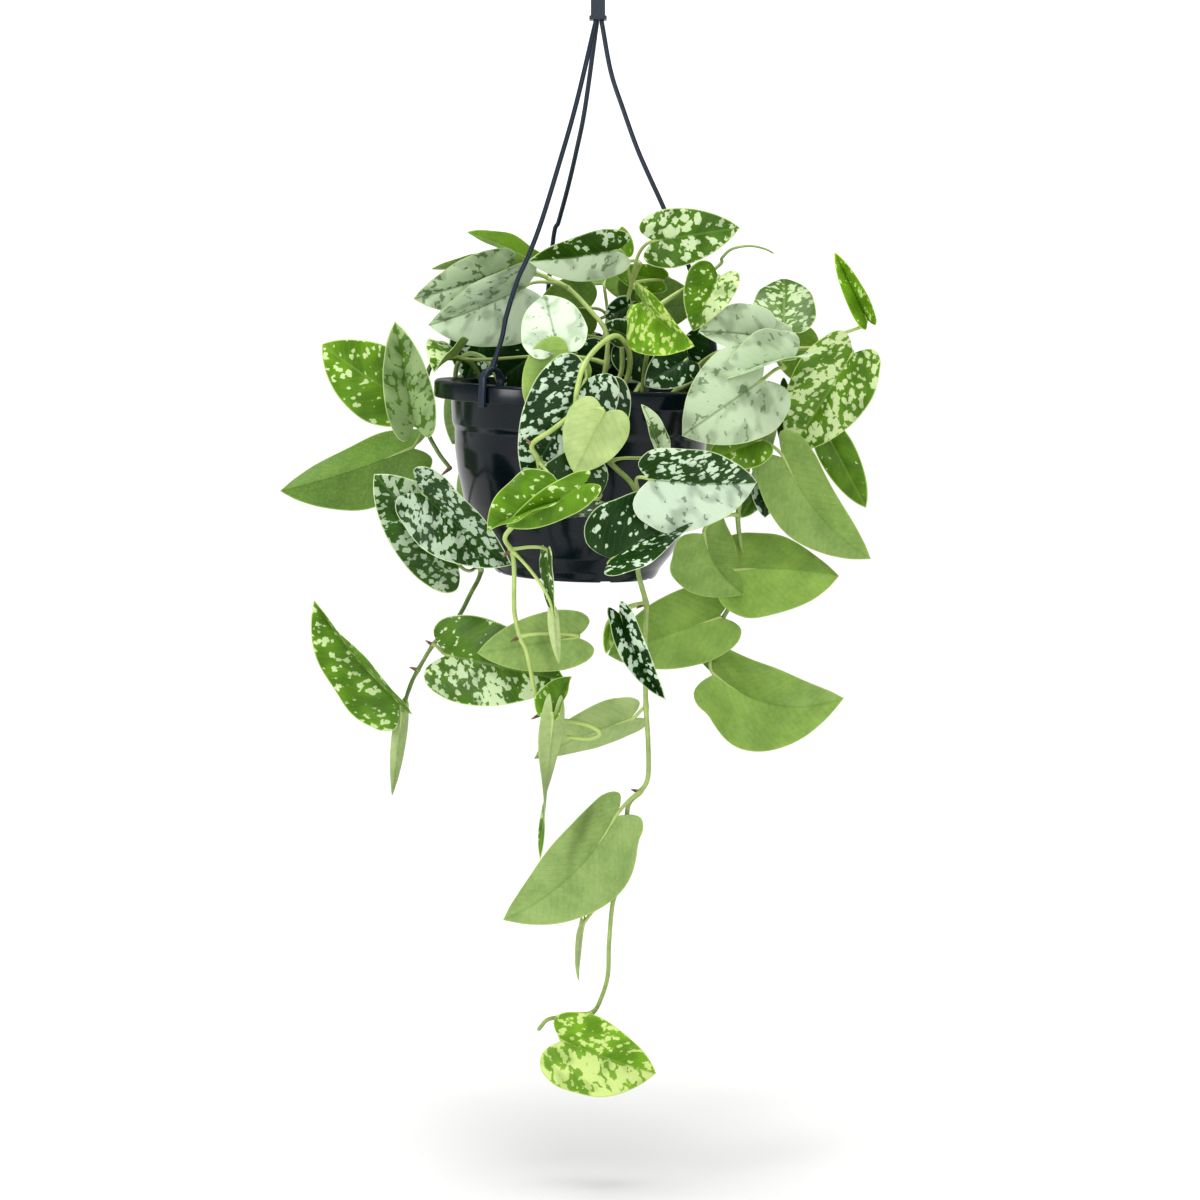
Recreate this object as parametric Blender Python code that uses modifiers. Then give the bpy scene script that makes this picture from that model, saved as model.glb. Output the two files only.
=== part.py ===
"""Satin pothos in a hanging pot: pot, soil, hanger and leafy stems.

Metres, +Z up, +X to the right and +Y away from the front. The origin is the seat of the hook.
"""
import math
from collections import namedtuple

import bmesh
import bpy
import numpy as np
from mathutils import Matrix, Vector

MM = 0.001
GAP = 0.3 * MM
MERGE_DISTANCE = 0.00002
SHARP_ANGLE = math.radians(50)

# Pot: heights are measured from the top of its rim
RIM_RADIUS = 76.5 * MM
RIM_DROP = 9.0 * MM
RIM_INNER_RADIUS = 67.2 * MM
LIP_WALL = 1.6 * MM
POT_WALL = 1.8 * MM
POT_HEIGHT = 98.0 * MM
POT_CENTRE = Vector((-7.8, 0.0, -240.0)) * MM
POT_TILT = math.radians(2.4)
POT_STEPS = 26
RIM_TOP_RADIUS = 75.3 * MM
RIM_ROUNDING = 1.2 * MM
FOOT_RECESS = 1.8 * MM
FOOT_CIRCLE = 40.5 * MM
FOOT_NOTCHES = 8
NOTCH_SIZE = (8.0 * MM, 5.0 * MM, 1.6 * MM)
NOTCH_RISE = 0.2 * MM
DRAIN_HOLES = 6
DRAIN_RADIUS = 4.0 * MM
DRAIN_CIRCLE = 26.0 * MM
FLOOR_MIDDLE = -95.2 * MM
CUTTER_DEPTH = 8.0 * MM
ROUND_SIDES = 12

# Outer wall below the rim, inside of the floor and foot ring, radius and height in millimetres.
# The foot's heights are measured from the pot's lowest point.
BODY_PROFILE = (
    (68.3, -2.0), (66.6, -22.0), (65.2, -24.5), (64.8, -34.0), (62.6, -47.5),
    (59.0, -62.0), (54.6, -74.5), (49.6, -85.5), (44.0, -93.0),
)
FLOOR_PROFILE = ((41.0, -92.8), (38.5, -94.2))
FOOT_PROFILE = ((42.4, 1.4), (41.4, 0.0), (39.6, 0.0), (39.0, 1.8))

# Soil and the plain holes that the stems stand in
SOIL_DROP = 9.0 * MM
SOIL_RADIUS = 65.0 * MM
SOIL_ROUNDING = (3.0 * MM, 1.0 * MM)
SOIL_FLOOR = ((40.6, -92.4), (38.2, -93.9))
ROOTING_DEPTH = 16.0 * MM
HOLE_EXTRA = 0.55 * MM
HOLE_ABOVE = 12.0 * MM

# Hanger
STRAND_RADIUS = 1.2 * MM
STRAND_AZIMUTHS = {"front_left": 231.0, "back": 109.0, "right": 349.0}
CLIP_WIDTH = 4.0 * MM
CLIP_TOP_RADIUS = 71.4 * MM
CLIP_TOP_HEIGHT = 7.6 * MM
HEAD_WIDTH = 7.2 * MM
HEAD_TOP = -36.0 * MM
HEAD_BOTTOM = -56.0 * MM
HEAD_LEDGE = 0.8 * MM
HEAD_LEDGE_HEIGHT = 2.0 * MM
SOCKET_OFFSET = 1.9 * MM
SOCKET_DEPTH = 5.0 * MM
SOCKET_EXTRA = 0.4 * MM
SOCKET_MOUTH = 1.0 * MM
HOOK_ROD_RADIUS = 2.5 * MM
HOOK_INNER_RADIUS = 10.0 * MM
HOOK_SUNK = 4.0 * MM
HOOK_NECK = 3.0 * MM
HOOK_START = -52.0
HOOK_TURN = 252.0
HOOK_STEPS = 14
HOOK_TIP_SHARE = 0.8

# The clip's outline: distance from the pot's axis and height above its rim, in millimetres
CLIP_OUTLINE = (
    (63.6, -6.0), (65.4, -6.0), (65.4, 3.0), (67.4, 6.0), (71.4, 7.4), (75.0, 6.0),
    (76.9, 3.0), (76.9, -9.5), (75.4, -9.5), (75.8, -11.0), (78.8, -11.0), (78.8, 4.0),
    (76.0, 7.6), (71.4, 9.2), (66.4, 7.6), (63.6, 4.0),
)

# Foliage
BLADE_THICKNESS = 1.0 * MM
BLADE_CURL = 0.10
BLADE_WAVE = 0.07
WAVES_ALONG = 9.0
SPINE_SPREAD = 1.6
OUTLINE_EVENING = 0.4
LOBE_REACH = 0.5
BROAD_LEAF = 45.0
SMALL_LEAF = 26.0
STALK_RADIUS = 0.95 * MM
STALK_END_RADIUS = 0.12 * MM
STALK_SHEATH = 1.2
STALK_STEPS = 3
STALK_LEAVES = 0.3
STALK_RISES = 0.12
STALK_ARRIVES = 0.28
STALK_DIPS = 0.18
STALK_SUNK = 2.0 * MM
STEM_RADIUS = 1.4 * MM
STEM_TIP_RADIUS = 1.0 * MM
STEM_CLEAR = 2.0 * MM
SHORT_STEM = 10
SHOOT_RADII = (1.0 * MM, 0.5 * MM)
NUB_LENGTH = 3.5 * MM
NUB_DROP = 1.0 * MM
NUB_BEND = 0.6
NUB_RADII = (1.1 * MM, 0.8 * MM, 0.35 * MM)
NUB_GUIDE = (0.3, -1.0, 0.2)

# Places of leaves and stems are written on a sheet held square to the line of sight:
# millimetres across and up on that sheet, and the real depth behind the hook in millimetres.
EYE = Vector((1.0, -1300.0, -191.0))
EYE_PITCH = math.radians(7.06)
SHEET_REACH = 1256.5

# The hanger's strands as places on that sheet, from the head down
STRAND_PATHS = {
    "front_left": (
        (-11.9, 248, -13), (-20.6, 217.5, -23), (-29.2, 189.5, -32), (-35.8, 172, -38),
        (-41.2, 160, -42), (-46.6, 142.8, -48), (-49.3, 130, -52),
    ),
    "back": (
        (-7.5, 245.8, 17), (-11.9, 224, 27), (-16.2, 205.6, 36), (-20.6, 189.4, 44),
        (-23.6, 178.5, 49),
    ),
    "right": (
        (5.4, 264.2, -2), (11.4, 245.8, -4), (18.4, 226.2, -6), (25, 211, -7),
        (32.1, 195.4, -8.5), (45, 165, -11),
    ),
}

# Half of a leaf's outline, from the notch round the lobe to the tip:
# across in half widths and along in lengths from stalk to tip
HALF_OUTLINE = (
    (0.0, 0.0),
    (0.22, -0.10),
    (0.50, -0.15),
    (0.80, -0.08),
    (0.98, 0.10),
    (1.0, 0.28),
    (0.88, 0.52),
    (0.62, 0.74),
    (0.33, 0.89),
    (0.10, 0.97),
    (0.0, 1.0),
)

# base and tip: (across, up, depth). width in mm. joint: the stem point that the leaf stalk leaves,
# or None for the rolled-up half of another leaf, which grows out of that leaf.
# roll 0 shows the upper face to the front, 180 the lower face. fold lifts each half.
# sweep bows the midrib sideways, arch and hook bow it out of the leaf's plane.
# lobe is the share of the full size that the lobes beside the notch have.
LEAF_FIELDS = "base tip width joint roll fold arch twist hook sweep lobe"
Leaf = namedtuple("Leaf", LEAF_FIELDS, defaults=(0, 12, 0.05, 0, 0, 0, 1))
Vine = namedtuple("Vine", "root stem leaves nubs shoots", defaults=((), ()))

VINES = {
    "stem_front": Vine(
        root=(16, -36),
        stem=(
            (14, 112, -42), (14.5, 124, -52), (8.5, 132, -64), (0, 127.5, -78),
            (-8, 117.5, -92), (-11.5, 105, -99), (-13.5, 94, -100), (-24, 85, -99),
            (-34, 77.5, -98), (-30.5, 69, -95), (-32, 55, -91), (-41, 40, -88),
            (-47.5, 31.5, -86), (-44.5, 25, -84), (-43, 17, -81), (-43, 0, -78),
            (-42.5, -8, -76), (-40, -18.5, -76), (-36.5, -26.5, -77), (-33, -44, -78),
            (-29.5, -57, -78), (-22.5, -59.5, -79), (-12.5, -61, -81), (-5, -63, -83),
            (0, -66.5, -84), (-5, -69.5, -83), (-16, -68.5, -80),
        ),
        leaves=(
            Leaf((-21, 125.5, -80), (-27.6, 152.5, -58), 33, 4),
            Leaf((-15.5, 121.5, -84), (-37, 97, -87), 32, 4, roll=180),
            Leaf((-7.5, 110, -92), (-37, 57.5, -90), 42, 4),
            Leaf((1.7, 93.5, -106), (-12.8, 63.2, -104), 31, 6, roll=180, fold=6),
            Leaf((-23, 49.5, -114), (-56.5, 34, -108), 38, 9, roll=44, fold=44),
            Leaf((-8, 58, -124), (-47, 36.5, -112), 20, None, roll=-20, fold=20),
            Leaf((-1.5, 50.5, -99), (-44, 48, -98), 46, 9, roll=-33, fold=-33),
            Leaf((-26, 22.5, -86), (-22, -9.5, -84), 13, 13, roll=60),
            Leaf((-23.5, -7, -84), (-20.5, -32, -84), 6, 13, roll=170),
            Leaf((-11.6, -18.6, -74), (-61.5, -26.5, -66), 30, 17, roll=180, fold=6),
            Leaf((-22.5, -58, -82), (-14.2, -38.2, -74), 25, 20, roll=-42, fold=42),
            Leaf((-23.5, -58, -88), (-30, -130, -88), 13, 20, roll=180, twist=150),
        ),
        nubs=(8, 13, 17, 20),
    ),
    "stem_long": Vine(
        root=(12, -50),
        stem=(
            (13.5, 104.5, -60), (2, 110, -70), (-4, 107.5, -79), (-5, 100, -81),
            (-2, 82, -81), (5, 69, -82), (16, 58, -82), (20.5, 45, -81),
            (19.5, 28, -79), (19, 14.5, -76), (23, -1.5, -74), (23, -10, -74),
            (22.5, -26.5, -75), (23, -53.5, -76), (24, -70, -77), (24, -88.5, -78),
            (20, -96, -79), (15, -101, -80), (13.5, -107.5, -81), (13, -126, -82),
            (10.5, -142, -83), (6.5, -151, -84), (4.5, -172, -86), (4, -187, -87),
            (1, -198, -87), (-3.5, -206, -86), (-12, -207, -82), (-20.5, -208.5, -80),
            (-26.5, -210, -80), (-30.5, -214.5, -80),
        ),
        leaves=(
            Leaf((1, 106.5, -86), (3, 73, -88), 27, 2, fold=5),
            Leaf((25, 60.5, -118), (78.5, 58.8, -108), 50, 7, roll=27, fold=27),
            Leaf((6, 20.5, -111), (50, 44, -106), 52, 8, roll=-35, fold=35),
            Leaf((29.5, 75, -88), (20.5, 98, -88), 14, 5, roll=45, fold=30),
            Leaf((10.5, -8, -84), (33, -50, -86), 22, 10, fold=50, sweep=0.06),
            Leaf((6, -12, -78), (3, -27, -78), 7, 10),
            Leaf((15, -59.5, -70), (-33, -79.5, -66), 26, 13, roll=152, fold=26),
            Leaf((8, -108, -86), (-48.5, -160, -90), 50, 16, roll=202, fold=22, sweep=-0.07, lobe=0.75),
            Leaf((-8.5, -162, -84), (-10.5, -190.5, -84), 7, 20, roll=120),
            Leaf((-19, -220, -86), (28, -236.5, -88), 46, 25, roll=23, fold=23),
        ),
        nubs=(3, 10, 16, 20),
    ),
    "stem_left_upper": Vine(
        root=(-50, 4),
        stem=(
            (-64, 118, 2), (-74, 121, 0), (-83, 119, -3), (-87, 110, -6),
            (-88, 98, -8), (-87, 86, -10), (-81, 74, -14), (-75, 66, -18),
        ),
        leaves=(
            Leaf((-99, 101, 30), (-139, 128, 34), 41, 4, roll=8, fold=8, sweep=-0.03),
            Leaf((-93, 88, -12), (-102.5, 139.5, -12), 32, 5, roll=0, fold=38),
            Leaf((-94, 76, -8), (-160, 54.5, 0), 47, 5, roll=208, fold=28, lobe=0.75),
        ),
        nubs=(7,),
    ),
    "stem_left_lower": Vine(
        root=(-42, 28),
        stem=(
            (-56, 119, 38), (-66, 123, 46), (-72, 115, 50), (-71, 94, 48),
            (-68, 70, 42), (-64, 50, 34), (-60, 30, 16), (-59.5, 14.5, 2),
            (-65, 2.5, -6), (-70.5, -8, -12), (-77.5, -16, -14), (-83.5, -22.5, -14),
            (-91, -35, -14), (-95, -43, -14), (-98.5, -55, -14),
        ),
        leaves=(
            Leaf((-71, 18, -38), (-113, 63, -32), 41, 7),
            Leaf((-88.6, 53.3, -46), (-44, 17.5, -64), 42, 6, roll=27, fold=27),
            Leaf((-76.2, -27.6, -30), (-17, -40.5, -54), 46, 11),
            Leaf((-101, -50.5, -12), (-143, 0, -6), 45, 12, roll=-43, fold=43),
            Leaf((-99, -56.5, -14), (-104, -98, -14), 14, 14, roll=180, fold=55),
        ),
        nubs=(11, 12),
    ),
    "crown_left": Vine(
        root=(8, -14),
        stem=(
            (3, 118, -16), (3, 134, -16), (-6, 146, -10), (-16, 156, -4),
            (-26, 161, 2), (-33, 163, 8),
        ),
        leaves=(
            Leaf((-35.7, 171, 18), (-66.5, 184, 12), 23, 5, roll=118),
            Leaf((-38, 164, 12), (-84.5, 165.5, 2), 28, 5, roll=112),
            Leaf((-48, 165, 2), (-93.5, 150.5, -8), 32, 4, roll=-20, fold=20),
            Leaf((-38, 156.5, -14), (-86, 137.5, -24), 50, 3, roll=-31, fold=31),
            Leaf((-72, 122, -28), (-83, 114, -50), 30, 0, roll=60, fold=50),
        ),
    ),
    "crown_middle": Vine(
        root=(8, 8),
        stem=((10, 112, 8), (11, 130, 6), (13, 146, 2), (16, 158, -4), (20, 168, -8)),
        leaves=(
            Leaf((8, 175, -16), (-36, 169.5, -30), 28, 3, roll=-20, fold=20),
            Leaf((12, 173, 14), (11, 187, 16), 11, 4),
            Leaf((30.5, 160, 4), (6, 165, 10), 16, 3, roll=-20),
            Leaf((27, 179.5, -26), (69, 186, -36), 30, 2, hook=0.14),
            Leaf((15, 147, 0), (2.5, 141, 6), 14, 1),
            Leaf((14, 132, -14), (1.5, 137.5, -12), 15, 1),
        ),
    ),
    "crown_front": Vine(
        root=(30, -34),
        stem=((22, 112, -40), (24, 126, -44), (26, 138, -46), (28, 146, -44)),
        leaves=(
            Leaf((21.5, 149, -54), (47.3, 126.8, -88), 43, 3, roll=36, fold=36, lobe=0.7),
            Leaf((59, 161, -30), (46.5, 134, -44), 32, 3, roll=12, fold=35),
            Leaf((43, 120, -46), (22, 107, -56), 23, 1, roll=10),
        ),
        shoots=(
            (3, (58, 166, -22), (61, 171, -20), (66, 175.5, -18), (75, 177, -16),
             (82.5, 175.5, -15), (86.5, 173.5, -15)),
        ),
    ),
    "right_upper": Vine(
        root=(42, -14),
        stem=((48, 116, -18), (60, 124, -20), (74, 126, -22), (86, 122, -26), (92, 116, -30)),
        leaves=(
            Leaf((81, 110, -52), (41, 82, -74), 48, 4, fold=5),
            Leaf((97, 121, -40), (60.5, 109, -60), 36, 3, roll=45, fold=45),
            Leaf((82.5, 131, -30), (49, 134, -46), 34, 3, roll=30, fold=25),
            Leaf((91, 131, -22), (62, 137, -28), 17, 3),
        ),
    ),
    "right_outer": Vine(
        root=(46, 12),
        stem=(
            (56, 118, 12), (68, 126, 8), (82, 128, 2), (96, 126, -4),
            (108, 126, -8), (112.5, 128.5, -8),
        ),
        leaves=(
            Leaf((92, 136, 2), (92, 160.5, 40), 34, 3, fold=12),
            Leaf((97, 132, 14), (101, 107.5, 16), 25, 3, roll=180),
            Leaf((126, 123, -10), (94.5, 73, -12), 44, 5, lobe=0.85),
            Leaf((133, 141, -8), (117.2, 174, -4), 20, 5, fold=55),
            Leaf((94, 106, 0), (92.5, 73, 2), 15, 4, roll=55, fold=5),
            Leaf((114, 82, 6), (133, 46, 12), 20, 5),
        ),
    ),
    "right_low": Vine(
        root=(36, -30),
        stem=(
            (54, 112, -34), (62, 116, -38), (74, 108, -38), (84, 92.5, -40),
            (78.5, 81, -40), (75, 70, -38), (71.5, 55, -36), (69, 42.5, -34),
            (70, 30, -32), (71.5, 20, -30), (69, 5, -27), (61, -10, -24),
            (56, -20, -22), (50, -25, -22), (40, -28.5, -24), (30, -27.5, -27),
            (23, -25, -30),
        ),
        leaves=(
            Leaf((92, 71, -40), (135.5, 20.5, -34), 41, 4, roll=158, fold=22, sweep=0.06),
            Leaf((80, 80, -46), (52.5, 69, -56), 24, 4),
            Leaf((84, 87, -20), (78, 59, -16), 12, 4, roll=160),
            Leaf((83, 64, -22), (82.5, 41, -20), 16, 5),
            Leaf((79, 55, -18), (70.5, 41, -16), 12, 6),
            Leaf((52, 33, -60), (72, 2.6, -46), 44, 7, roll=156, fold=24, sweep=0.08),
            Leaf((67, 15, -42), (119.5, 12, -32), 50, 9, roll=158, fold=22, sweep=-0.05),
            Leaf((59.5, -8.5, -26), (4, -27.5, -36), 40, 11, roll=180, fold=10),
            Leaf((57, -37, -24), (122, -49, -18), 56, 12, roll=158, fold=22, sweep=0.13, lobe=0.85),
        ),
        nubs=(4, 12),
    ),
    "back_left": Vine(
        root=(-30, 30),
        stem=(
            (-42, 120, 50), (-46, 125, 66), (-50, 116, 80), (-50, 98, 88),
            (-48, 78, 90), (-44, 58, 88), (-40, 40, 84), (-36, 24, 80),
        ),
        leaves=(
            Leaf((-56, 104, 94), (-74, 78, 96), 40, 3, roll=180),
            Leaf((-40, 90, 98), (-14, 68, 102), 42, 3, roll=180),
            Leaf((-54, 64, 96), (-62, 34, 94), 36, 5, roll=180),
            Leaf((-34, 46, 92), (-14, 22, 94), 36, 6, roll=180),
            Leaf((-58, 131, 66), (-67, 110, 68), 34, 1, fold=8),
        ),
    ),
    "back_right": Vine(
        root=(26, 30),
        stem=(
            (24, 114, 52), (28, 120, 70), (34, 112, 86), (36, 94, 90),
            (32, 74, 92), (28, 56, 90), (26, 40, 86),
        ),
        leaves=(
            Leaf((46, 104, 94), (70, 84, 98), 42, 2, roll=180),
            Leaf((22, 92, 98), (0, 112, 104), 36, 3, roll=180),
            Leaf((42, 70, 98), (66, 52, 98), 42, 4, roll=180),
            Leaf((20, 48, 92), (8, 22, 90), 38, 6, roll=180),
            Leaf((8, 130, 58), (10, 108, 60), 28, 1, fold=8),
            Leaf((41, 129, 59), (51, 109, 62), 34, 1, fold=8),
        ),
    ),
    "crown_back": Vine(
        root=(0, 30),
        stem=((0, 116, 34), (2, 130, 40), (4, 142, 46)),
        leaves=(
            Leaf((-5, 146, 34), (-32, 146, 26), 34, 2, roll=180),
            Leaf((14, 148, 46), (40, 156, 64), 38, 2, roll=200),
            Leaf((2, 158, 52), (8, 172, 74), 34, 2, roll=180),
            Leaf((22, 145, 44), (50, 148, 62), 34, 2, roll=200),
            Leaf((-27, 127, 16), (-52, 109, 18), 36, 1, fold=8),
            Leaf((-12, 124, 22), (-2, 105, 24), 32, 0, fold=8),
            Leaf((17, 129, 24), (27, 108, 22), 30, 1, fold=8),
            Leaf((-8, 134, 54), (-26, 110, 58), 36, 2, fold=8),
        ),
    ),
}


def clear_scene():
    """Remove every object of the open scene."""
    for old in list(bpy.data.objects):
        bpy.data.objects.remove(old)


def make_collection(name):
    """Return a new collection linked to the scene."""
    collection = bpy.data.collections.new(name)
    bpy.context.scene.collection.children.link(collection)
    return collection


def make_material(name, color, roughness):
    """Return a plain Principled material."""
    material = bpy.data.materials.new(name)
    material.use_nodes = True
    shader = material.node_tree.nodes["Principled BSDF"]
    shader.inputs["Base Color"].default_value = (*color, 1.0)
    shader.inputs["Roughness"].default_value = roughness
    shader.inputs["Metallic"].default_value = 0.0
    return material


def mesh_object(name, vertices, faces, collection):
    """Return an object from loose vertices and faces."""
    mesh = bpy.data.meshes.new(name)
    mesh.from_pydata([tuple(point) for point in vertices], [], faces)
    mesh.update()
    made = bpy.data.objects.new(name, mesh)
    collection.objects.link(made)
    return made


def settled_mesh(source, name, collection, material=None, weld_distance=MERGE_DISTANCE):
    """Replace an object by a plain mesh of what its modifiers or its curve make."""
    graph = bpy.context.evaluated_depsgraph_get()
    mesh = bpy.data.meshes.new_from_object(source.evaluated_get(graph))
    matrix = source.matrix_world.copy()
    bpy.data.objects.remove(source)
    weld = bmesh.new()
    weld.from_mesh(mesh)
    bmesh.ops.remove_doubles(weld, verts=weld.verts, dist=weld_distance)
    bmesh.ops.recalc_face_normals(weld, faces=weld.faces)
    weld.to_mesh(mesh)
    weld.free()
    made = bpy.data.objects.new(name, mesh)
    made.matrix_world = matrix
    collection.objects.link(made)
    if material:
        mesh.materials.clear()
        mesh.materials.append(material)
    return made


def tube(name, points, radii, sides_step, collection):
    """Return a closed tube through the points, as a mesh object."""
    curve = bpy.data.curves.new(name, "CURVE")
    curve.dimensions = "3D"
    curve.bevel_depth = 1.0
    curve.bevel_resolution = sides_step
    curve.use_fill_caps = True
    spline = curve.splines.new("POLY")
    spline.points.add(len(points) - 1)
    for slot, point, radius in zip(spline.points, points, radii):
        slot.co = (*point, 1.0)
        slot.radius = radius
    source = bpy.data.objects.new(name, curve)
    collection.objects.link(source)
    return settled_mesh(source, name, collection)


def smooth_path(points, steps):
    """Return points along a smooth curve through the given ones."""
    ends = [points[0] * 2 - points[1], *points, points[-1] * 2 - points[-2]]
    path = []
    for before, start, end, after in zip(ends, ends[1:], ends[2:], ends[3:]):
        for step in range(steps):
            t = step / steps
            path.append(
                0.5 * (
                    start * 2
                    + (end - before) * t
                    + (before * 2 - start * 5 + end * 4 - after) * t ** 2
                    + (start * 3 - before - end * 3 + after) * t ** 3
                )
            )
    path.append(points[-1])
    return path


def in_triangles(mesh):
    """Split a mesh's faces into triangles, without the points that bend no edge."""
    shape = bmesh.new()
    shape.from_mesh(mesh)
    idle = [point for point in shape.verts if len(point.link_edges) == 2]
    bmesh.ops.dissolve_verts(shape, verts=idle)
    bmesh.ops.triangulate(shape, faces=shape.faces, quad_method="BEAUTY", ngon_method="BEAUTY")
    shape.to_mesh(mesh)
    shape.free()


def fused(base, pieces, name, collection, material):
    """Join an object and the pieces' collection into one body."""
    union = base.modifiers.new("join", "BOOLEAN")
    union.operation = "UNION"
    union.operand_type = "COLLECTION"
    union.collection = pieces
    made = settled_mesh(base, name, collection, material, 0.0)
    in_triangles(made.data)
    made.data.shade_smooth()
    made.data.set_sharp_from_angle(angle=SHARP_ANGLE)
    for piece in list(pieces.objects):
        bpy.data.objects.remove(piece)
    bpy.data.collections.remove(pieces)
    return made


def seen(across, up, depth):
    """Return the point at a depth on the line of sight through a place on the sheet."""
    ray = Vector((
        across,
        SHEET_REACH * math.cos(EYE_PITCH) + up * math.sin(EYE_PITCH),
        up * math.cos(EYE_PITCH) - SHEET_REACH * math.sin(EYE_PITCH),
    ))
    return (EYE + ray * ((depth - EYE.y) / ray.y)) * MM


def pot_frame():
    """Return the matrix that places the hanging pot, which leans a little to the right."""
    return Matrix.Translation(POT_CENTRE) @ Matrix.Rotation(POT_TILT, 4, "Y")


def half_outline(count):
    """Return the margin of half a leaf at even steps from notch to tip."""
    controls = [Vector(point) for point in HALF_OUTLINE]
    path = np.array([tuple(point) for point in smooth_path(controls, 8)])
    path[:, 0] = np.maximum(path[:, 0], 0.0)
    steps = np.hypot(np.diff(path[:, 0]) * OUTLINE_EVENING, np.diff(path[:, 1]))
    travelled = np.concatenate(([0.0], np.cumsum(steps)))
    wanted = np.linspace(0.0, travelled[-1], count + 1)
    return np.interp(wanted, travelled, path[:, 0]), np.interp(wanted, travelled, path[:, 1])


def leaf_frame(leaf):
    """Return a leaf's base, its length, its directions along, across and up, and its bow."""
    base = seen(*leaf.base)
    tip = seen(*leaf.tip)
    along = (tip - base).normalized()
    sight = EYE * MM - base
    facing = (sight - along * sight.dot(along)).normalized()
    side = along.cross(facing)
    roll = math.radians(leaf.roll)
    normal = facing * math.cos(roll) + side * math.sin(roll)
    length = (tip - base).length
    return base, length, along, along.cross(normal), normal, side * length * leaf.sweep


def leaf_points(leaf, across, along):
    """Return the places of outline coordinates on a leaf's bent blade."""
    base, length, axis, side, normal, bow = leaf_frame(leaf)
    half = leaf.width * MM / 2
    near_notch = np.clip(1 - along / LOBE_REACH, 0, 1) ** 2
    across = across * (1 - (1 - leaf.lobe) * near_notch)
    along = np.where(along < 0, along * leaf.lobe, along)
    fold = math.radians(leaf.fold)
    sideways = across * half * math.cos(fold)
    rise = np.abs(across) * half * math.sin(fold) - BLADE_CURL * half * across ** 2
    rise = rise + BLADE_WAVE * half * np.sin(WAVES_ALONG * along + leaf.width) * across ** 2
    turn = math.radians(leaf.twist) * along
    turned = sideways * np.cos(turn) - rise * np.sin(turn)
    lifted = sideways * np.sin(turn) + rise * np.cos(turn)
    beyond = np.clip(along, 0, None)
    lifted = lifted + leaf.arch * 4 * length * beyond * (1 - beyond)
    lifted = lifted - leaf.hook * length * np.clip((along - 0.5) * 2, 0, None) ** 2
    place = np.outer(along * length, axis) + np.outer(turned, side) + np.outer(lifted, normal)
    place = place + np.outer(4 * beyond * (1 - beyond), bow)
    return place + np.array(base)


def blade_grid(ribs, lanes):
    """Return outline coordinates and faces of a whole blade.

    Ribs run from the midrib to the margin. Lanes run from the notch to the tip beside each other.
    """
    margin_x, margin_y = half_outline(ribs)
    spine_y = np.linspace(0, 1, ribs + 1) ** SPINE_SPREAD
    across = [0.0] * (ribs + 1)
    along = list(spine_y)
    faces = []
    for sign in (1, -1):
        lines = [list(range(ribs + 1))]
        for lane in range(1, lanes + 1):
            share = lane / lanes
            line = [0]
            for rib in range(1, ribs):
                across.append(sign * margin_x[rib] * share)
                along.append(spine_y[rib] + (margin_y[rib] - spine_y[rib]) * share)
                line.append(len(across) - 1)
            lines.append([*line, ribs])
        for inner, outer in zip(lines, lines[1:]):
            for rib in range(ribs):
                quad = dict.fromkeys((inner[rib], outer[rib], outer[rib + 1], inner[rib + 1]))
                corners = list(quad)[::sign]
                faces.append(corners[:3])
                if len(corners) == 4:
                    faces.append([corners[0], corners[2], corners[3]])
    return np.array(across), np.array(along), faces


def add_blade(leaf, pieces):
    """Add a leaf's blade as a closed shell of even thickness."""
    ribs = 6 if leaf.width >= SMALL_LEAF else 5
    lanes = 2 if leaf.width >= BROAD_LEAF else 1
    across, along, faces = blade_grid(ribs, lanes)
    sheet = mesh_object("blade", leaf_points(leaf, across, along), faces, pieces)
    wall = sheet.modifiers.new("thickness", "SOLIDIFY")
    wall.thickness = BLADE_THICKNESS
    wall.offset = 0.0
    settled_mesh(sheet, "blade", pieces)


def add_stalk(leaf, start, pieces):
    """Add the stalk that carries a leaf, sunk into the stem and into the blade."""
    base, length, along, side, normal, bow = leaf_frame(leaf)
    reach = (base - start).length
    leave = start.lerp(base, STALK_LEAVES) + Vector((0, 0, STALK_RISES * reach))
    arrive = base - along * STALK_ARRIVES * reach - normal * STALK_DIPS * reach
    path = []
    for step in range(STALK_STEPS + 1):
        t = step / STALK_STEPS
        path.append(
            start * (1 - t) ** 3
            + leave * 3 * t * (1 - t) ** 2
            + arrive * 3 * t ** 2 * (1 - t)
            + base * t ** 3
        )
    path.append(base + along * STALK_SUNK)
    radii = [STALK_RADIUS * STALK_SHEATH, *[STALK_RADIUS] * STALK_STEPS, STALK_END_RADIUS]
    tube("stalk", path, radii, 0, pieces)


def soil_height(x, y):
    """Return the height of the soil's surface, which leans with the pot, at a place in plan."""
    flat = pot_frame() @ Vector((0, 0, -SOIL_DROP))
    return flat.z - (x - flat.x) * math.tan(POT_TILT)


def root_place(vine):
    """Return where a stem leaves the soil."""
    x = POT_CENTRE.x + vine.root[0] * MM
    y = POT_CENTRE.y + vine.root[1] * MM
    return Vector((x, y, soil_height(x, y)))


def add_nub(point, along, pieces):
    """Add a small aerial root to a stem's joint."""
    out = along.cross(Vector(NUB_GUIDE)).normalized()
    tip = point + out * (STEM_RADIUS + NUB_LENGTH) - Vector((0, 0, NUB_DROP))
    tube("nub", [point, point.lerp(tip, NUB_BEND), tip], NUB_RADII, 0, pieces)


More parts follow.
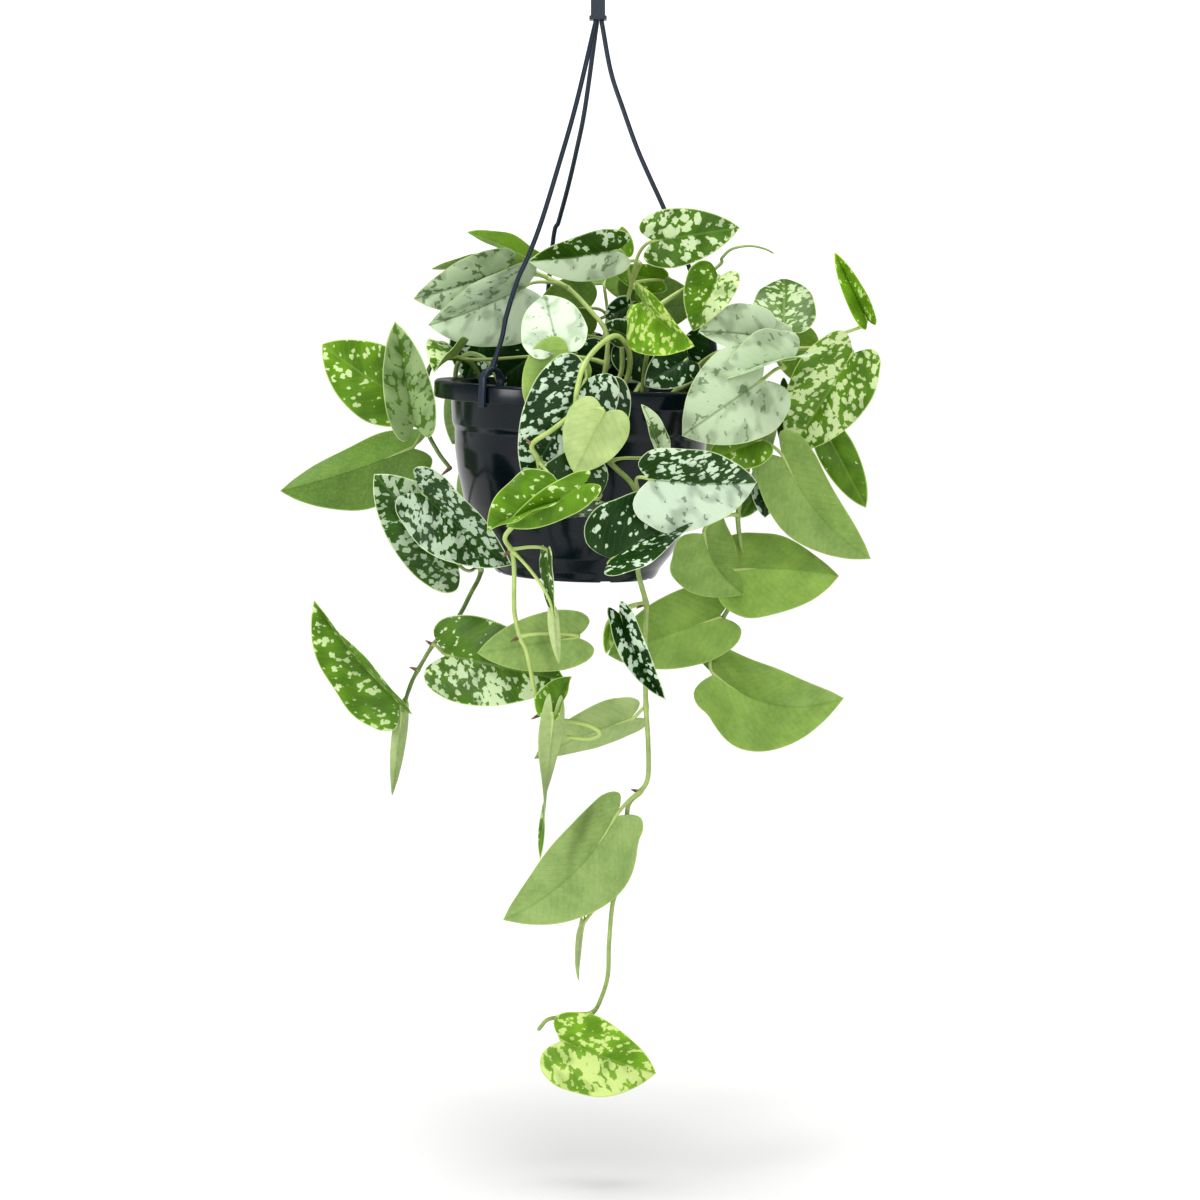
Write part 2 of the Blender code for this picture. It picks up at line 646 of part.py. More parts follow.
def build_vine(name, vine, collection, material):
    """Build one leafy stem with its leaves, stalks and shoots as one body."""
    entry = root_place(vine)
    buried = entry - Vector((0, 0, ROOTING_DEPTH))
    clear = entry + Vector((0, 0, STEM_CLEAR))
    joints = [seen(*point) for point in vine.stem]
    path = [buried, *smooth_path([clear, *joints], 2 if len(joints) < SHORT_STEM else 1)]
    radii = np.linspace(STEM_RADIUS, STEM_TIP_RADIUS, len(path))
    stem = tube(name, path, radii, 1, collection)
    pieces = bpy.data.collections.new(name + "_pieces")
    bpy.context.scene.collection.children.link(pieces)
    for leaf in vine.leaves:
        add_blade(leaf, pieces)
        if leaf.joint is not None:
            add_stalk(leaf, joints[leaf.joint], pieces)
    for joint in vine.nubs:
        along = (joints[joint] - joints[joint - 1]).normalized()
        add_nub(joints[joint], along, pieces)
    for start, *points in vine.shoots:
        path = smooth_path([joints[start], *[seen(*point) for point in points]], 2)
        tube("shoot", path, np.linspace(*SHOOT_RADII, len(path)), 0, pieces)
    return fused(stem, pieces, name, collection, material)


def turned(name, profile, steps, collection, material):
    """Return a body of revolution from a profile of radius and height in millimetres."""
    vertices = [(radius * MM, 0.0, height * MM) for radius, height in profile]
    edges = [(n, n + 1) for n in range(len(vertices) - 1)]
    mesh = bpy.data.meshes.new(name)
    mesh.from_pydata(vertices, edges, [])
    mesh.materials.append(material)
    made = bpy.data.objects.new(name, mesh)
    collection.objects.link(made)
    screw = made.modifiers.new("turn", "SCREW")
    screw.steps = steps
    screw.render_steps = steps
    screw.use_merge_vertices = True
    screw.merge_threshold = MERGE_DISTANCE
    screw.use_normal_calculate = True
    return made


def cylinder(name, radius, depth, sides, collection):
    """Return an upright cylinder about the origin."""
    mesh = bpy.data.meshes.new(name)
    shape = bmesh.new()
    bmesh.ops.create_cone(
        shape, cap_ends=True, segments=sides, radius1=radius, radius2=radius, depth=depth,
    )
    shape.to_mesh(mesh)
    shape.free()
    made = bpy.data.objects.new(name, mesh)
    collection.objects.link(made)
    return made


def box(name, size, collection):
    """Return a box about the origin."""
    mesh = bpy.data.meshes.new(name)
    shape = bmesh.new()
    bmesh.ops.create_cube(shape, size=1.0)
    bmesh.ops.scale(shape, vec=size, verts=shape.verts)
    shape.to_mesh(mesh)
    shape.free()
    made = bpy.data.objects.new(name, mesh)
    collection.objects.link(made)
    return made


def cut(target, cutter):
    """Cut one object out of another and keep the cutter as a hidden guide."""
    cutter.hide_render = True
    cutter.display_type = "WIRE"
    modifier = target.modifiers.new("cut", "BOOLEAN")
    modifier.operation = "DIFFERENCE"
    modifier.object = cutter


def inner_profile():
    """Return the pot's inner wall from top to bottom, one wall inside the outer one."""
    wall = POT_WALL / MM
    inside = [(radius - wall, height) for radius, height in BODY_PROFILE[1:-1]]
    return [*inside, *FLOOR_PROFILE]


def build_pot(collection, cutters, material):
    """Build the pot: rim, collar, ledge, bowl, notched foot ring and drain holes."""
    rim = RIM_RADIUS / MM
    drop = -RIM_DROP / MM
    lip = rim - LIP_WALL / MM
    foot = -POT_HEIGHT / MM
    opening = RIM_INNER_RADIUS / MM
    outside = [
        (opening, 0.0), (RIM_TOP_RADIUS / MM, 0.0), (rim, -RIM_ROUNDING / MM), (rim, drop),
        (lip, drop), (lip, BODY_PROFILE[0][1]), *BODY_PROFILE,
        *[(radius, foot + height) for radius, height in FOOT_PROFILE],
        (0.0, foot + FOOT_RECESS / MM),
    ]
    inside = [(0.0, FLOOR_PROFILE[-1][1]), *reversed(inner_profile()), (opening, 0.0)]
    pot = turned("pot", [*outside, *inside], POT_STEPS, collection, material)
    place = pot_frame()
    pot.matrix_world = place
    notches = make_collection("foot_notches")
    for n in range(FOOT_NOTCHES):
        turn = Matrix.Rotation(2 * math.pi * (n + 0.5) / FOOT_NOTCHES, 4, "Z")
        notch = box("notch", NOTCH_SIZE, notches)
        lift = NOTCH_RISE - POT_HEIGHT
        notch.matrix_world = place @ turn @ Matrix.Translation((FOOT_CIRCLE, 0, lift))
    for n in range(DRAIN_HOLES):
        turn = Matrix.Rotation(2 * math.pi * n / DRAIN_HOLES, 4, "Z")
        hole = cylinder("drain", DRAIN_RADIUS, CUTTER_DEPTH, ROUND_SIDES, notches)
        hole.matrix_world = place @ turn @ Matrix.Translation((DRAIN_CIRCLE, 0, FLOOR_MIDDLE))
    for cutter in list(notches.objects):
        notches.objects.unlink(cutter)
        cutters.objects.link(cutter)
        cut(pot, cutter)
    bpy.data.collections.remove(notches)
    return pot


def build_soil(collection, cutters, material):
    """Build the soil that fills the pot, with a plain hole for each stem."""
    gap = GAP / MM
    top = -SOIL_DROP / MM
    edge = SOIL_RADIUS / MM
    across, down = (size / MM for size in SOIL_ROUNDING)
    wall = [(radius - gap, height) for radius, height in inner_profile()[:-2]]
    profile = [
        (0.0, top), (edge - across, top), (edge, top - down), *wall, *SOIL_FLOOR,
        (0.0, SOIL_FLOOR[-1][1]),
    ]
    soil = turned("soil", profile, POT_STEPS, collection, material)
    soil.matrix_world = pot_frame()
    for name, vine in VINES.items():
        entry = root_place(vine)
        depth = ROOTING_DEPTH + GAP + HOLE_ABOVE
        hole = cylinder("hole_" + name, STEM_RADIUS + HOLE_EXTRA, depth, ROUND_SIDES, cutters)
        hole.location = entry + Vector((0, 0, depth / 2 - ROOTING_DEPTH - GAP))
        cut(soil, hole)
    return soil


def clip_top(azimuth):
    """Return where a strand meets the top of its clip."""
    turn = Matrix.Rotation(math.radians(azimuth), 4, "Z")
    return pot_frame() @ turn @ Vector((CLIP_TOP_RADIUS, 0, CLIP_TOP_HEIGHT))


def add_clip(azimuth, pieces):
    """Add the clip that straddles the rim: an arch with a leg each side."""
    curve = bpy.data.curves.new("clip", "CURVE")
    curve.dimensions = "2D"
    curve.fill_mode = "BOTH"
    curve.extrude = CLIP_WIDTH / 2
    spline = curve.splines.new("POLY")
    spline.points.add(len(CLIP_OUTLINE) - 1)
    for slot, (radius, height) in zip(spline.points, CLIP_OUTLINE):
        slot.co = (radius * MM, height * MM, 0.0, 1.0)
    spline.use_cyclic_u = True
    source = bpy.data.objects.new("clip", curve)
    pieces.objects.link(source)
    upright = Matrix.Rotation(math.pi / 2, 4, "X")
    turn = Matrix.Rotation(math.radians(azimuth), 4, "Z")
    source.matrix_world = pot_frame() @ turn @ upright
    bpy.context.view_layer.update()
    return settled_mesh(source, "clip", pieces)


def socket_place(azimuth):
    """Return the top and the mouth of the head's socket for a strand."""
    out = Vector((math.cos(math.radians(azimuth)), math.sin(math.radians(azimuth)), 0))
    top = out * SOCKET_OFFSET + Vector((0, 0, HEAD_BOTTOM + SOCKET_DEPTH))
    mouth = out * SOCKET_OFFSET + Vector((0, 0, HEAD_BOTTOM - SOCKET_MOUTH))
    return top, mouth


def build_strand(side, azimuth, collection, material):
    """Build one strand of the hanger with the clip at its foot."""
    top, mouth = socket_place(azimuth)
    points = [mouth, *[seen(*point) for point in STRAND_PATHS[side]], clip_top(azimuth)]
    path = [top, *smooth_path(points, 1)]
    strand = tube("strand", path, [STRAND_RADIUS] * len(path), 1, collection)
    pieces = make_collection("strand_pieces")
    add_clip(azimuth, pieces)
    return fused(strand, pieces, "strand_" + side, collection, material)


def build_head(collection, cutters, material):
    """Build the hanger's head block with three sockets and the hook above it."""
    rod = HOOK_ROD_RADIUS
    ring = HOOK_INNER_RADIUS + rod
    centre = Vector((0, 0, -HOOK_INNER_RADIUS))
    path = [Vector((0, 0, HEAD_TOP - HOOK_SUNK)), Vector((0, 0, HEAD_TOP + HOOK_NECK))]
    for step in range(HOOK_STEPS + 1):
        angle = math.radians(HOOK_START + step * HOOK_TURN / HOOK_STEPS)
        path.append(centre + Vector((ring * math.cos(angle), 0, ring * math.sin(angle))))
    radii = [rod] * (len(path) - 1) + [rod * HOOK_TIP_SHARE]
    hook = tube("hook", path, radii, 2, collection)
    pieces = make_collection("head_pieces")
    block = box("block", (HEAD_WIDTH, HEAD_WIDTH, HEAD_TOP - HEAD_BOTTOM), pieces)
    block.location = (0, 0, (HEAD_TOP + HEAD_BOTTOM) / 2)
    ledge = HEAD_WIDTH + 2 * HEAD_LEDGE
    foot = box("foot", (ledge, ledge, HEAD_LEDGE_HEIGHT), pieces)
    foot.location = (0, 0, HEAD_BOTTOM + HEAD_LEDGE_HEIGHT / 2)
    bpy.context.view_layer.update()
    head = fused(hook, pieces, "hanger_head", collection, material)
    for side, azimuth in STRAND_AZIMUTHS.items():
        top, mouth = socket_place(azimuth)
        bore = STRAND_RADIUS + SOCKET_EXTRA
        socket = cylinder("socket_" + side, bore, CUTTER_DEPTH, ROUND_SIDES, cutters)
        socket.location = top + Vector((0, 0, GAP - CUTTER_DEPTH / 2))
        cut(head, socket)
    return head


def main():
    """Build every piece of the hanging plant."""
    clear_scene()
    collection = make_collection("satin_pothos")
    cutters = make_collection("cutters")
    plastic = make_material("dark_plastic", (0.035, 0.042, 0.050), 0.35)
    peat = make_material("peat", (0.020, 0.014, 0.010), 0.95)
    build_pot(collection, cutters, plastic)
    build_soil(collection, cutters, peat)
    build_head(collection, cutters, make_material("head_plastic", (0.05, 0.06, 0.07), 0.4))
    for side, azimuth in STRAND_AZIMUTHS.items():
        strand = make_material("strand_plastic_" + side, (0.05, 0.06, 0.07), 0.4)
        build_strand(side, azimuth, collection, strand)
    for name, vine in VINES.items():
        leaf = make_material("foliage_" + name, (0.10, 0.22, 0.05), 0.45)
        build_vine(name, vine, collection, leaf)


if __name__ == "__main__":
    main()
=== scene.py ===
"""Looks of a satin pothos in its hanging pot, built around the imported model.

Metres, +Z up, +X to the right and +Y away from the front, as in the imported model. The origin is the
seat of the hook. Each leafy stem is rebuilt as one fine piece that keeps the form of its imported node.
"""
from __future__ import annotations

import logging
import math
from dataclasses import dataclass, field
from enum import Enum

import bmesh
import bpy
import numpy as np
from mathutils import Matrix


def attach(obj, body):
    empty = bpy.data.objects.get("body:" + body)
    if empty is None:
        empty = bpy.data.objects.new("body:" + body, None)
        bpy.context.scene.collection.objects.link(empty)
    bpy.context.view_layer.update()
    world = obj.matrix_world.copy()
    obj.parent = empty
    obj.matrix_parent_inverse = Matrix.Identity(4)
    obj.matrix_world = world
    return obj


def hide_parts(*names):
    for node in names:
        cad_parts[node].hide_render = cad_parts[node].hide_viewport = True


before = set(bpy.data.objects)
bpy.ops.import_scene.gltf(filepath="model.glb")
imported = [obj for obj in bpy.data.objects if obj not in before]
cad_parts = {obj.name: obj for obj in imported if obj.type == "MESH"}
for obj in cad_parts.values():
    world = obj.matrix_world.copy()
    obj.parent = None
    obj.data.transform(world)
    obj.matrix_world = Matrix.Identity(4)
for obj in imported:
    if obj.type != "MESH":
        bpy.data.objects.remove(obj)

LOG = logging.getLogger("satin_pothos")
MM = 0.001
BODY = "root"
SEED = 412

# The line of sight of the photograph: leaf and stem places are written on a sheet held square to it,
# in millimetres across and up on that sheet, with the real depth behind the hook in millimetres.
EYE = np.array([1.0, -1300.0, -191.0])
EYE_PITCH = math.radians(7.06)
SHEET_REACH = 1256.5
LENS = 75.4
SENSOR = 36.0

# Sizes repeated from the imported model, in metres
POT_CENTRE = np.array([-7.8, 0.0, -240.0]) * MM
POT_TILT = math.radians(2.4)
SOIL_DROP = 9.0 * MM
STALK_RADIUS = 0.95 * MM
STEM_RADIUS = 1.4 * MM
STEM_TIP_RADIUS = 1.0 * MM
STRAND_RADIUS = 1.2 * MM
NUB_LENGTH = 3.5 * MM

# How far the lobes reach, in lengths of a leaf. Side veins stand this far apart, in millimetres, and fall
# behind by the slope times the distance from the midrib and the bend times its square.
LOBE_REACH = 0.5
VEIN_SPACING = 4.2
VEIN_SLOPE = 0.75
VEIN_BEND = 0.012

# Points nearer than this are one point, and an edge bent by more than this is sharp
SAME_PLACE = 0.002 * MM
CREASE = math.radians(50)
POT_CREASE = math.radians(40)

# The sizes of the two smaller rings at a tube's domed end, and the directions its rings may start from
DOME_SIZES = (0.35, 0.8)
GUIDES = ((1, 0, 0), (0, 1, 0), (0, 0, 1), (1, 1, 0), (0, 1, 1), (1, 0, 1), (1, -1, 0.3))

# Large numbers that mix a noise cell's three coordinates and its seed, and the one that folds them
CELL_FACTORS = (374761393, 668265263, 2147483647, 974711)
FOLD_FACTOR = 1274126177

# Half of a leaf's outline, from the notch round the lobe to the tip:
# across in half widths and along in lengths from stalk to tip
HALF_OUTLINE = (
    (0.0, 0.0), (0.22, -0.10), (0.50, -0.15), (0.80, -0.08), (0.98, 0.10), (1.0, 0.28),
    (0.88, 0.52), (0.62, 0.74), (0.33, 0.89), (0.10, 0.97), (0.0, 1.0),
)

Place = tuple[float, float, float]
Colour = tuple[float, float, float]
Socket, Node, Tree = bpy.types.NodeSocket, bpy.types.Node, bpy.types.NodeTree
Material, Object = bpy.types.Material, bpy.types.Object


@dataclass(frozen=True)
class Leaf:
    """One leaf's place and bends.

    base and tip are places on the sheet and width is in millimetres. joint is the stem point that the
    stalk leaves, or None for a leaf half that grows out of another leaf. roll 0 shows the upper face to
    the front. fold lifts each half, sweep bows the midrib sideways, arch and hook bow it out of the
    leaf's plane, and twist turns it about its midrib. lobe is the share of their full size that the lobes
    beside the notch have.
    """

    base: Place
    tip: Place
    width: float
    joint: int | None
    roll: float = 0.0
    fold: float = 12.0
    arch: float = 0.05
    twist: float = 0.0
    hook: float = 0.0
    sweep: float = 0.0
    lobe: float = 1.0


@dataclass(frozen=True)
class Vine:
    """One leafy stem.

    root is where it leaves the soil, in millimetres right of and behind the pot's centre. stem holds its
    joints, leaves its leaves, nubs the joints with a root nub, and a shoot is a joint and then places.
    """

    root: tuple[float, float]
    stem: tuple[Place, ...]
    leaves: tuple[Leaf, ...]
    nubs: tuple[int, ...] = ()
    shoots: tuple[tuple, ...] = ()


@dataclass(frozen=True)
class Marking:
    """How one leaf is coloured.

    silver_minus and silver_plus are the shares of silver on its two halves, tone goes from 0 on a young
    bright leaf to 1 on a dark old one, and under goes from 0 on a green underside to 1 on a pale one. Past
    0.6, under also dulls the silver of the upper face. On the lower face, a high tone also darkens the
    colour as painted shade.
    """

    silver_minus: float
    silver_plus: float
    tone: float
    under: float = 0.5


VINES = {
    "stem_front": Vine(
        root=(16, -36),
        stem=(
            (14, 112, -42), (14.5, 124, -52), (8.5, 132, -64), (0, 127.5, -78),
            (-8, 117.5, -92), (-11.5, 105, -99), (-13.5, 94, -100), (-24, 85, -99),
            (-34, 77.5, -98), (-30.5, 69, -95), (-32, 55, -91), (-41, 40, -88),
            (-47.5, 31.5, -86), (-44.5, 25, -84), (-43, 17, -81), (-43, 0, -78),
            (-42.5, -8, -76), (-40, -18.5, -76), (-36.5, -26.5, -77), (-33, -44, -78),
            (-29.5, -57, -78), (-22.5, -59.5, -79), (-12.5, -61, -81), (-5, -63, -83),
            (0, -66.5, -84), (-5, -69.5, -83), (-16, -68.5, -80),
        ),
        leaves=(
            Leaf((-21, 125.5, -80), (-27.6, 152.5, -58), 33, 4),
            Leaf((-15.5, 121.5, -84), (-37, 97, -87), 32, 4, roll=180),
            Leaf((-7.5, 110, -92), (-37, 57.5, -90), 42, 4),
            Leaf((1.7, 93.5, -106), (-12.8, 63.2, -104), 31, 6, roll=180, fold=6),
            Leaf((-23, 49.5, -114), (-56.5, 34, -108), 38, 9, roll=44, fold=44),
            Leaf((-8, 58, -124), (-47, 36.5, -112), 20, None, roll=-20, fold=20),
            Leaf((-1.5, 50.5, -99), (-44, 48, -98), 46, 9, roll=-33, fold=-33),
            Leaf((-26, 22.5, -86), (-22, -9.5, -84), 13, 13, roll=60),
            Leaf((-23.5, -7, -84), (-20.5, -32, -84), 6, 13, roll=170),
            Leaf((-11.6, -18.6, -74), (-61.5, -26.5, -66), 30, 17, roll=180, fold=6),
            Leaf((-22.5, -58, -82), (-14.2, -38.2, -74), 25, 20, roll=-42, fold=42),
            Leaf((-23.5, -58, -88), (-30, -130, -88), 13, 20, roll=180, twist=150),
        ),
        nubs=(8, 13, 17, 20),
    ),
    "stem_long": Vine(
        root=(12, -50),
        stem=(
            (13.5, 104.5, -60), (2, 110, -70), (-4, 107.5, -79), (-5, 100, -81),
            (-2, 82, -81), (5, 69, -82), (16, 58, -82), (20.5, 45, -81),
            (19.5, 28, -79), (19, 14.5, -76), (23, -1.5, -74), (23, -10, -74),
            (22.5, -26.5, -75), (23, -53.5, -76), (24, -70, -77), (24, -88.5, -78),
            (20, -96, -79), (15, -101, -80), (13.5, -107.5, -81), (13, -126, -82),
            (10.5, -142, -83), (6.5, -151, -84), (4.5, -172, -86), (4, -187, -87),
            (1, -198, -87), (-3.5, -206, -86), (-12, -207, -82), (-20.5, -208.5, -80),
            (-26.5, -210, -80), (-30.5, -214.5, -80),
        ),
        leaves=(
            Leaf((1, 106.5, -86), (3, 73, -88), 27, 2, fold=5),
            Leaf((25, 60.5, -118), (78.5, 58.8, -108), 50, 7, roll=27, fold=27),
            Leaf((6, 20.5, -111), (50, 44, -106), 52, 8, roll=-35, fold=35),
            Leaf((29.5, 75, -88), (20.5, 98, -88), 14, 5, roll=45, fold=30),
            Leaf((10.5, -8, -84), (33, -50, -86), 22, 10, fold=50, sweep=0.06),
            Leaf((6, -12, -78), (3, -27, -78), 7, 10),
            Leaf((15, -59.5, -70), (-33, -79.5, -66), 26, 13, roll=152, fold=26),
            Leaf((8, -108, -86), (-48.5, -160, -90), 50, 16, roll=202, fold=22, sweep=-0.07, lobe=0.75),
            Leaf((-8.5, -162, -84), (-10.5, -190.5, -84), 7, 20, roll=120),
            Leaf((-19, -220, -86), (28, -236.5, -88), 46, 25, roll=23, fold=23),
        ),
        nubs=(3, 10, 16, 20),
    ),
    "stem_left_upper": Vine(
        root=(-50, 4),
        stem=(
            (-64, 118, 2), (-74, 121, 0), (-83, 119, -3), (-87, 110, -6),
            (-88, 98, -8), (-87, 86, -10), (-81, 74, -14), (-75, 66, -18),
        ),
        leaves=(
            Leaf((-99, 101, 30), (-139, 128, 34), 41, 4, roll=8, fold=8, sweep=-0.03),
            Leaf((-93, 88, -12), (-102.5, 139.5, -12), 32, 5, roll=0, fold=38),
            Leaf((-94, 76, -8), (-160, 54.5, 0), 47, 5, roll=208, fold=28, lobe=0.75),
        ),
        nubs=(7,),
    ),
    "stem_left_lower": Vine(
        root=(-42, 28),
        stem=(
            (-56, 119, 38), (-66, 123, 46), (-72, 115, 50), (-71, 94, 48),
            (-68, 70, 42), (-64, 50, 34), (-60, 30, 16), (-59.5, 14.5, 2),
            (-65, 2.5, -6), (-70.5, -8, -12), (-77.5, -16, -14), (-83.5, -22.5, -14),
            (-91, -35, -14), (-95, -43, -14), (-98.5, -55, -14),
        ),
        leaves=(
            Leaf((-71, 18, -38), (-113, 63, -32), 41, 7),
            Leaf((-88.6, 53.3, -46), (-44, 17.5, -64), 42, 6, roll=27, fold=27),
            Leaf((-76.2, -27.6, -30), (-17, -40.5, -54), 46, 11),
            Leaf((-101, -50.5, -12), (-143, 0, -6), 45, 12, roll=-43, fold=43),
            Leaf((-99, -56.5, -14), (-104, -98, -14), 14, 14, roll=180, fold=55),
        ),
        nubs=(11, 12),
    ),
    "crown_left": Vine(
        root=(8, -14),
        stem=(
            (3, 118, -16), (3, 134, -16), (-6, 146, -10), (-16, 156, -4),
            (-26, 161, 2), (-33, 163, 8),
        ),
        leaves=(
            Leaf((-35.7, 171, 18), (-66.5, 184, 12), 23, 5, roll=118),
            Leaf((-38, 164, 12), (-84.5, 165.5, 2), 28, 5, roll=112),
            Leaf((-48, 165, 2), (-93.5, 150.5, -8), 32, 4, roll=-20, fold=20),
            Leaf((-38, 156.5, -14), (-86, 137.5, -24), 50, 3, roll=-31, fold=31),
            Leaf((-72, 122, -28), (-83, 114, -50), 30, 0, roll=60, fold=50),
        ),
    ),
    "crown_middle": Vine(
        root=(8, 8),
        stem=((10, 112, 8), (11, 130, 6), (13, 146, 2), (16, 158, -4), (20, 168, -8)),
        leaves=(
            Leaf((8, 175, -16), (-36, 169.5, -30), 28, 3, roll=-20, fold=20),
            Leaf((12, 173, 14), (11, 187, 16), 11, 4),
            Leaf((30.5, 160, 4), (6, 165, 10), 16, 3, roll=-20),
            Leaf((27, 179.5, -26), (69, 186, -36), 30, 2, hook=0.14),
            Leaf((15, 147, 0), (2.5, 141, 6), 14, 1),
            Leaf((14, 132, -14), (1.5, 137.5, -12), 15, 1),
        ),
    ),
    "crown_front": Vine(
        root=(30, -34),
        stem=((22, 112, -40), (24, 126, -44), (26, 138, -46), (28, 146, -44)),
        leaves=(
            Leaf((21.5, 149, -54), (47.3, 126.8, -88), 43, 3, roll=36, fold=36, lobe=0.7),
            Leaf((59, 161, -30), (46.5, 134, -44), 32, 3, roll=12, fold=35),
            Leaf((43, 120, -46), (22, 107, -56), 23, 1, roll=10),
        ),
        shoots=(
            (3, (58, 166, -22), (61, 171, -20), (66, 175.5, -18), (75, 177, -16),
             (82.5, 175.5, -15), (86.5, 173.5, -15)),
        ),
    ),
    "right_upper": Vine(
        root=(42, -14),
        stem=((48, 116, -18), (60, 124, -20), (74, 126, -22), (86, 122, -26), (92, 116, -30)),
        leaves=(
            Leaf((81, 110, -52), (41, 82, -74), 48, 4, fold=5),
            Leaf((97, 121, -40), (60.5, 109, -60), 36, 3, roll=45, fold=45),
            Leaf((82.5, 131, -30), (49, 134, -46), 34, 3, roll=30, fold=25),
            Leaf((91, 131, -22), (62, 137, -28), 17, 3),
        ),
    ),
    "right_outer": Vine(
        root=(46, 12),
        stem=(
            (56, 118, 12), (68, 126, 8), (82, 128, 2), (96, 126, -4),
            (108, 126, -8), (112.5, 128.5, -8),
        ),
        leaves=(
            Leaf((92, 136, 2), (92, 160.5, 40), 34, 3, fold=12),
            Leaf((97, 132, 14), (101, 107.5, 16), 25, 3, roll=180),
            Leaf((126, 123, -10), (94.5, 73, -12), 44, 5, lobe=0.85),
            Leaf((133, 141, -8), (117.2, 174, -4), 20, 5, fold=55),
            Leaf((94, 106, 0), (92.5, 73, 2), 15, 4, roll=55, fold=5),
            Leaf((114, 82, 6), (133, 46, 12), 20, 5),
        ),
    ),
    "right_low": Vine(
        root=(36, -30),
        stem=(
            (54, 112, -34), (62, 116, -38), (74, 108, -38), (84, 92.5, -40),
            (78.5, 81, -40), (75, 70, -38), (71.5, 55, -36), (69, 42.5, -34),
            (70, 30, -32), (71.5, 20, -30), (69, 5, -27), (61, -10, -24),
            (56, -20, -22), (50, -25, -22), (40, -28.5, -24), (30, -27.5, -27),
            (23, -25, -30),
        ),
        leaves=(
            Leaf((92, 71, -40), (135.5, 20.5, -34), 41, 4, roll=158, fold=22, sweep=0.06),
            Leaf((80, 80, -46), (52.5, 69, -56), 24, 4),
            Leaf((84, 87, -20), (78, 59, -16), 12, 4, roll=160),
            Leaf((83, 64, -22), (82.5, 41, -20), 16, 5),
            Leaf((79, 55, -18), (70.5, 41, -16), 12, 6),
            Leaf((52, 33, -60), (72, 2.6, -46), 44, 7, roll=156, fold=24, sweep=0.08),
            Leaf((67, 15, -42), (119.5, 12, -32), 50, 9, roll=158, fold=22, sweep=-0.05),
            Leaf((59.5, -8.5, -26), (4, -27.5, -36), 40, 11, roll=180, fold=10),
            Leaf((57, -37, -24), (122, -49, -18), 56, 12, roll=158, fold=22, sweep=0.13, lobe=0.85),
        ),
        nubs=(4, 12),
    ),
    "back_left": Vine(
        root=(-30, 30),
        stem=(
            (-42, 120, 50), (-46, 125, 66), (-50, 116, 80), (-50, 98, 88),
            (-48, 78, 90), (-44, 58, 88), (-40, 40, 84), (-36, 24, 80),
        ),
        leaves=(
            Leaf((-56, 104, 94), (-74, 78, 96), 40, 3, roll=180),
            Leaf((-40, 90, 98), (-14, 68, 102), 42, 3, roll=180),
            Leaf((-54, 64, 96), (-62, 34, 94), 36, 5, roll=180),
            Leaf((-34, 46, 92), (-14, 22, 94), 36, 6, roll=180),
            Leaf((-58, 131, 66), (-67, 110, 68), 34, 1, fold=8),
        ),
    ),
    "back_right": Vine(
        root=(26, 30),
        stem=(
            (24, 114, 52), (28, 120, 70), (34, 112, 86), (36, 94, 90),
            (32, 74, 92), (28, 56, 90), (26, 40, 86),
        ),
        leaves=(
            Leaf((46, 104, 94), (70, 84, 98), 42, 2, roll=180),
            Leaf((22, 92, 98), (0, 112, 104), 36, 3, roll=180),
            Leaf((42, 70, 98), (66, 52, 98), 42, 4, roll=180),
            Leaf((20, 48, 92), (8, 22, 90), 38, 6, roll=180),
            Leaf((8, 130, 58), (10, 108, 60), 28, 1, fold=8),
            Leaf((41, 129, 59), (51, 109, 62), 34, 1, fold=8),
        ),
    ),
    "crown_back": Vine(
        root=(0, 30),
        stem=((0, 116, 34), (2, 130, 40), (4, 142, 46)),
        leaves=(
            Leaf((-5, 146, 34), (-32, 146, 26), 34, 2, roll=180),
            Leaf((14, 148, 46), (40, 156, 64), 38, 2, roll=200),
            Leaf((2, 158, 52), (8, 172, 74), 34, 2, roll=180),
            Leaf((22, 145, 44), (50, 148, 62), 34, 2, roll=200),
            Leaf((-27, 127, 16), (-52, 109, 18), 36, 1, fold=8),
            Leaf((-12, 124, 22), (-2, 105, 24), 32, 0, fold=8),
            Leaf((17, 129, 24), (27, 108, 22), 30, 1, fold=8),
            Leaf((-8, 134, 54), (-26, 110, 58), 36, 2, fold=8),
        ),
    ),
}

# Short for the rows below, which follow the leaves of VINES in order
M = Marking

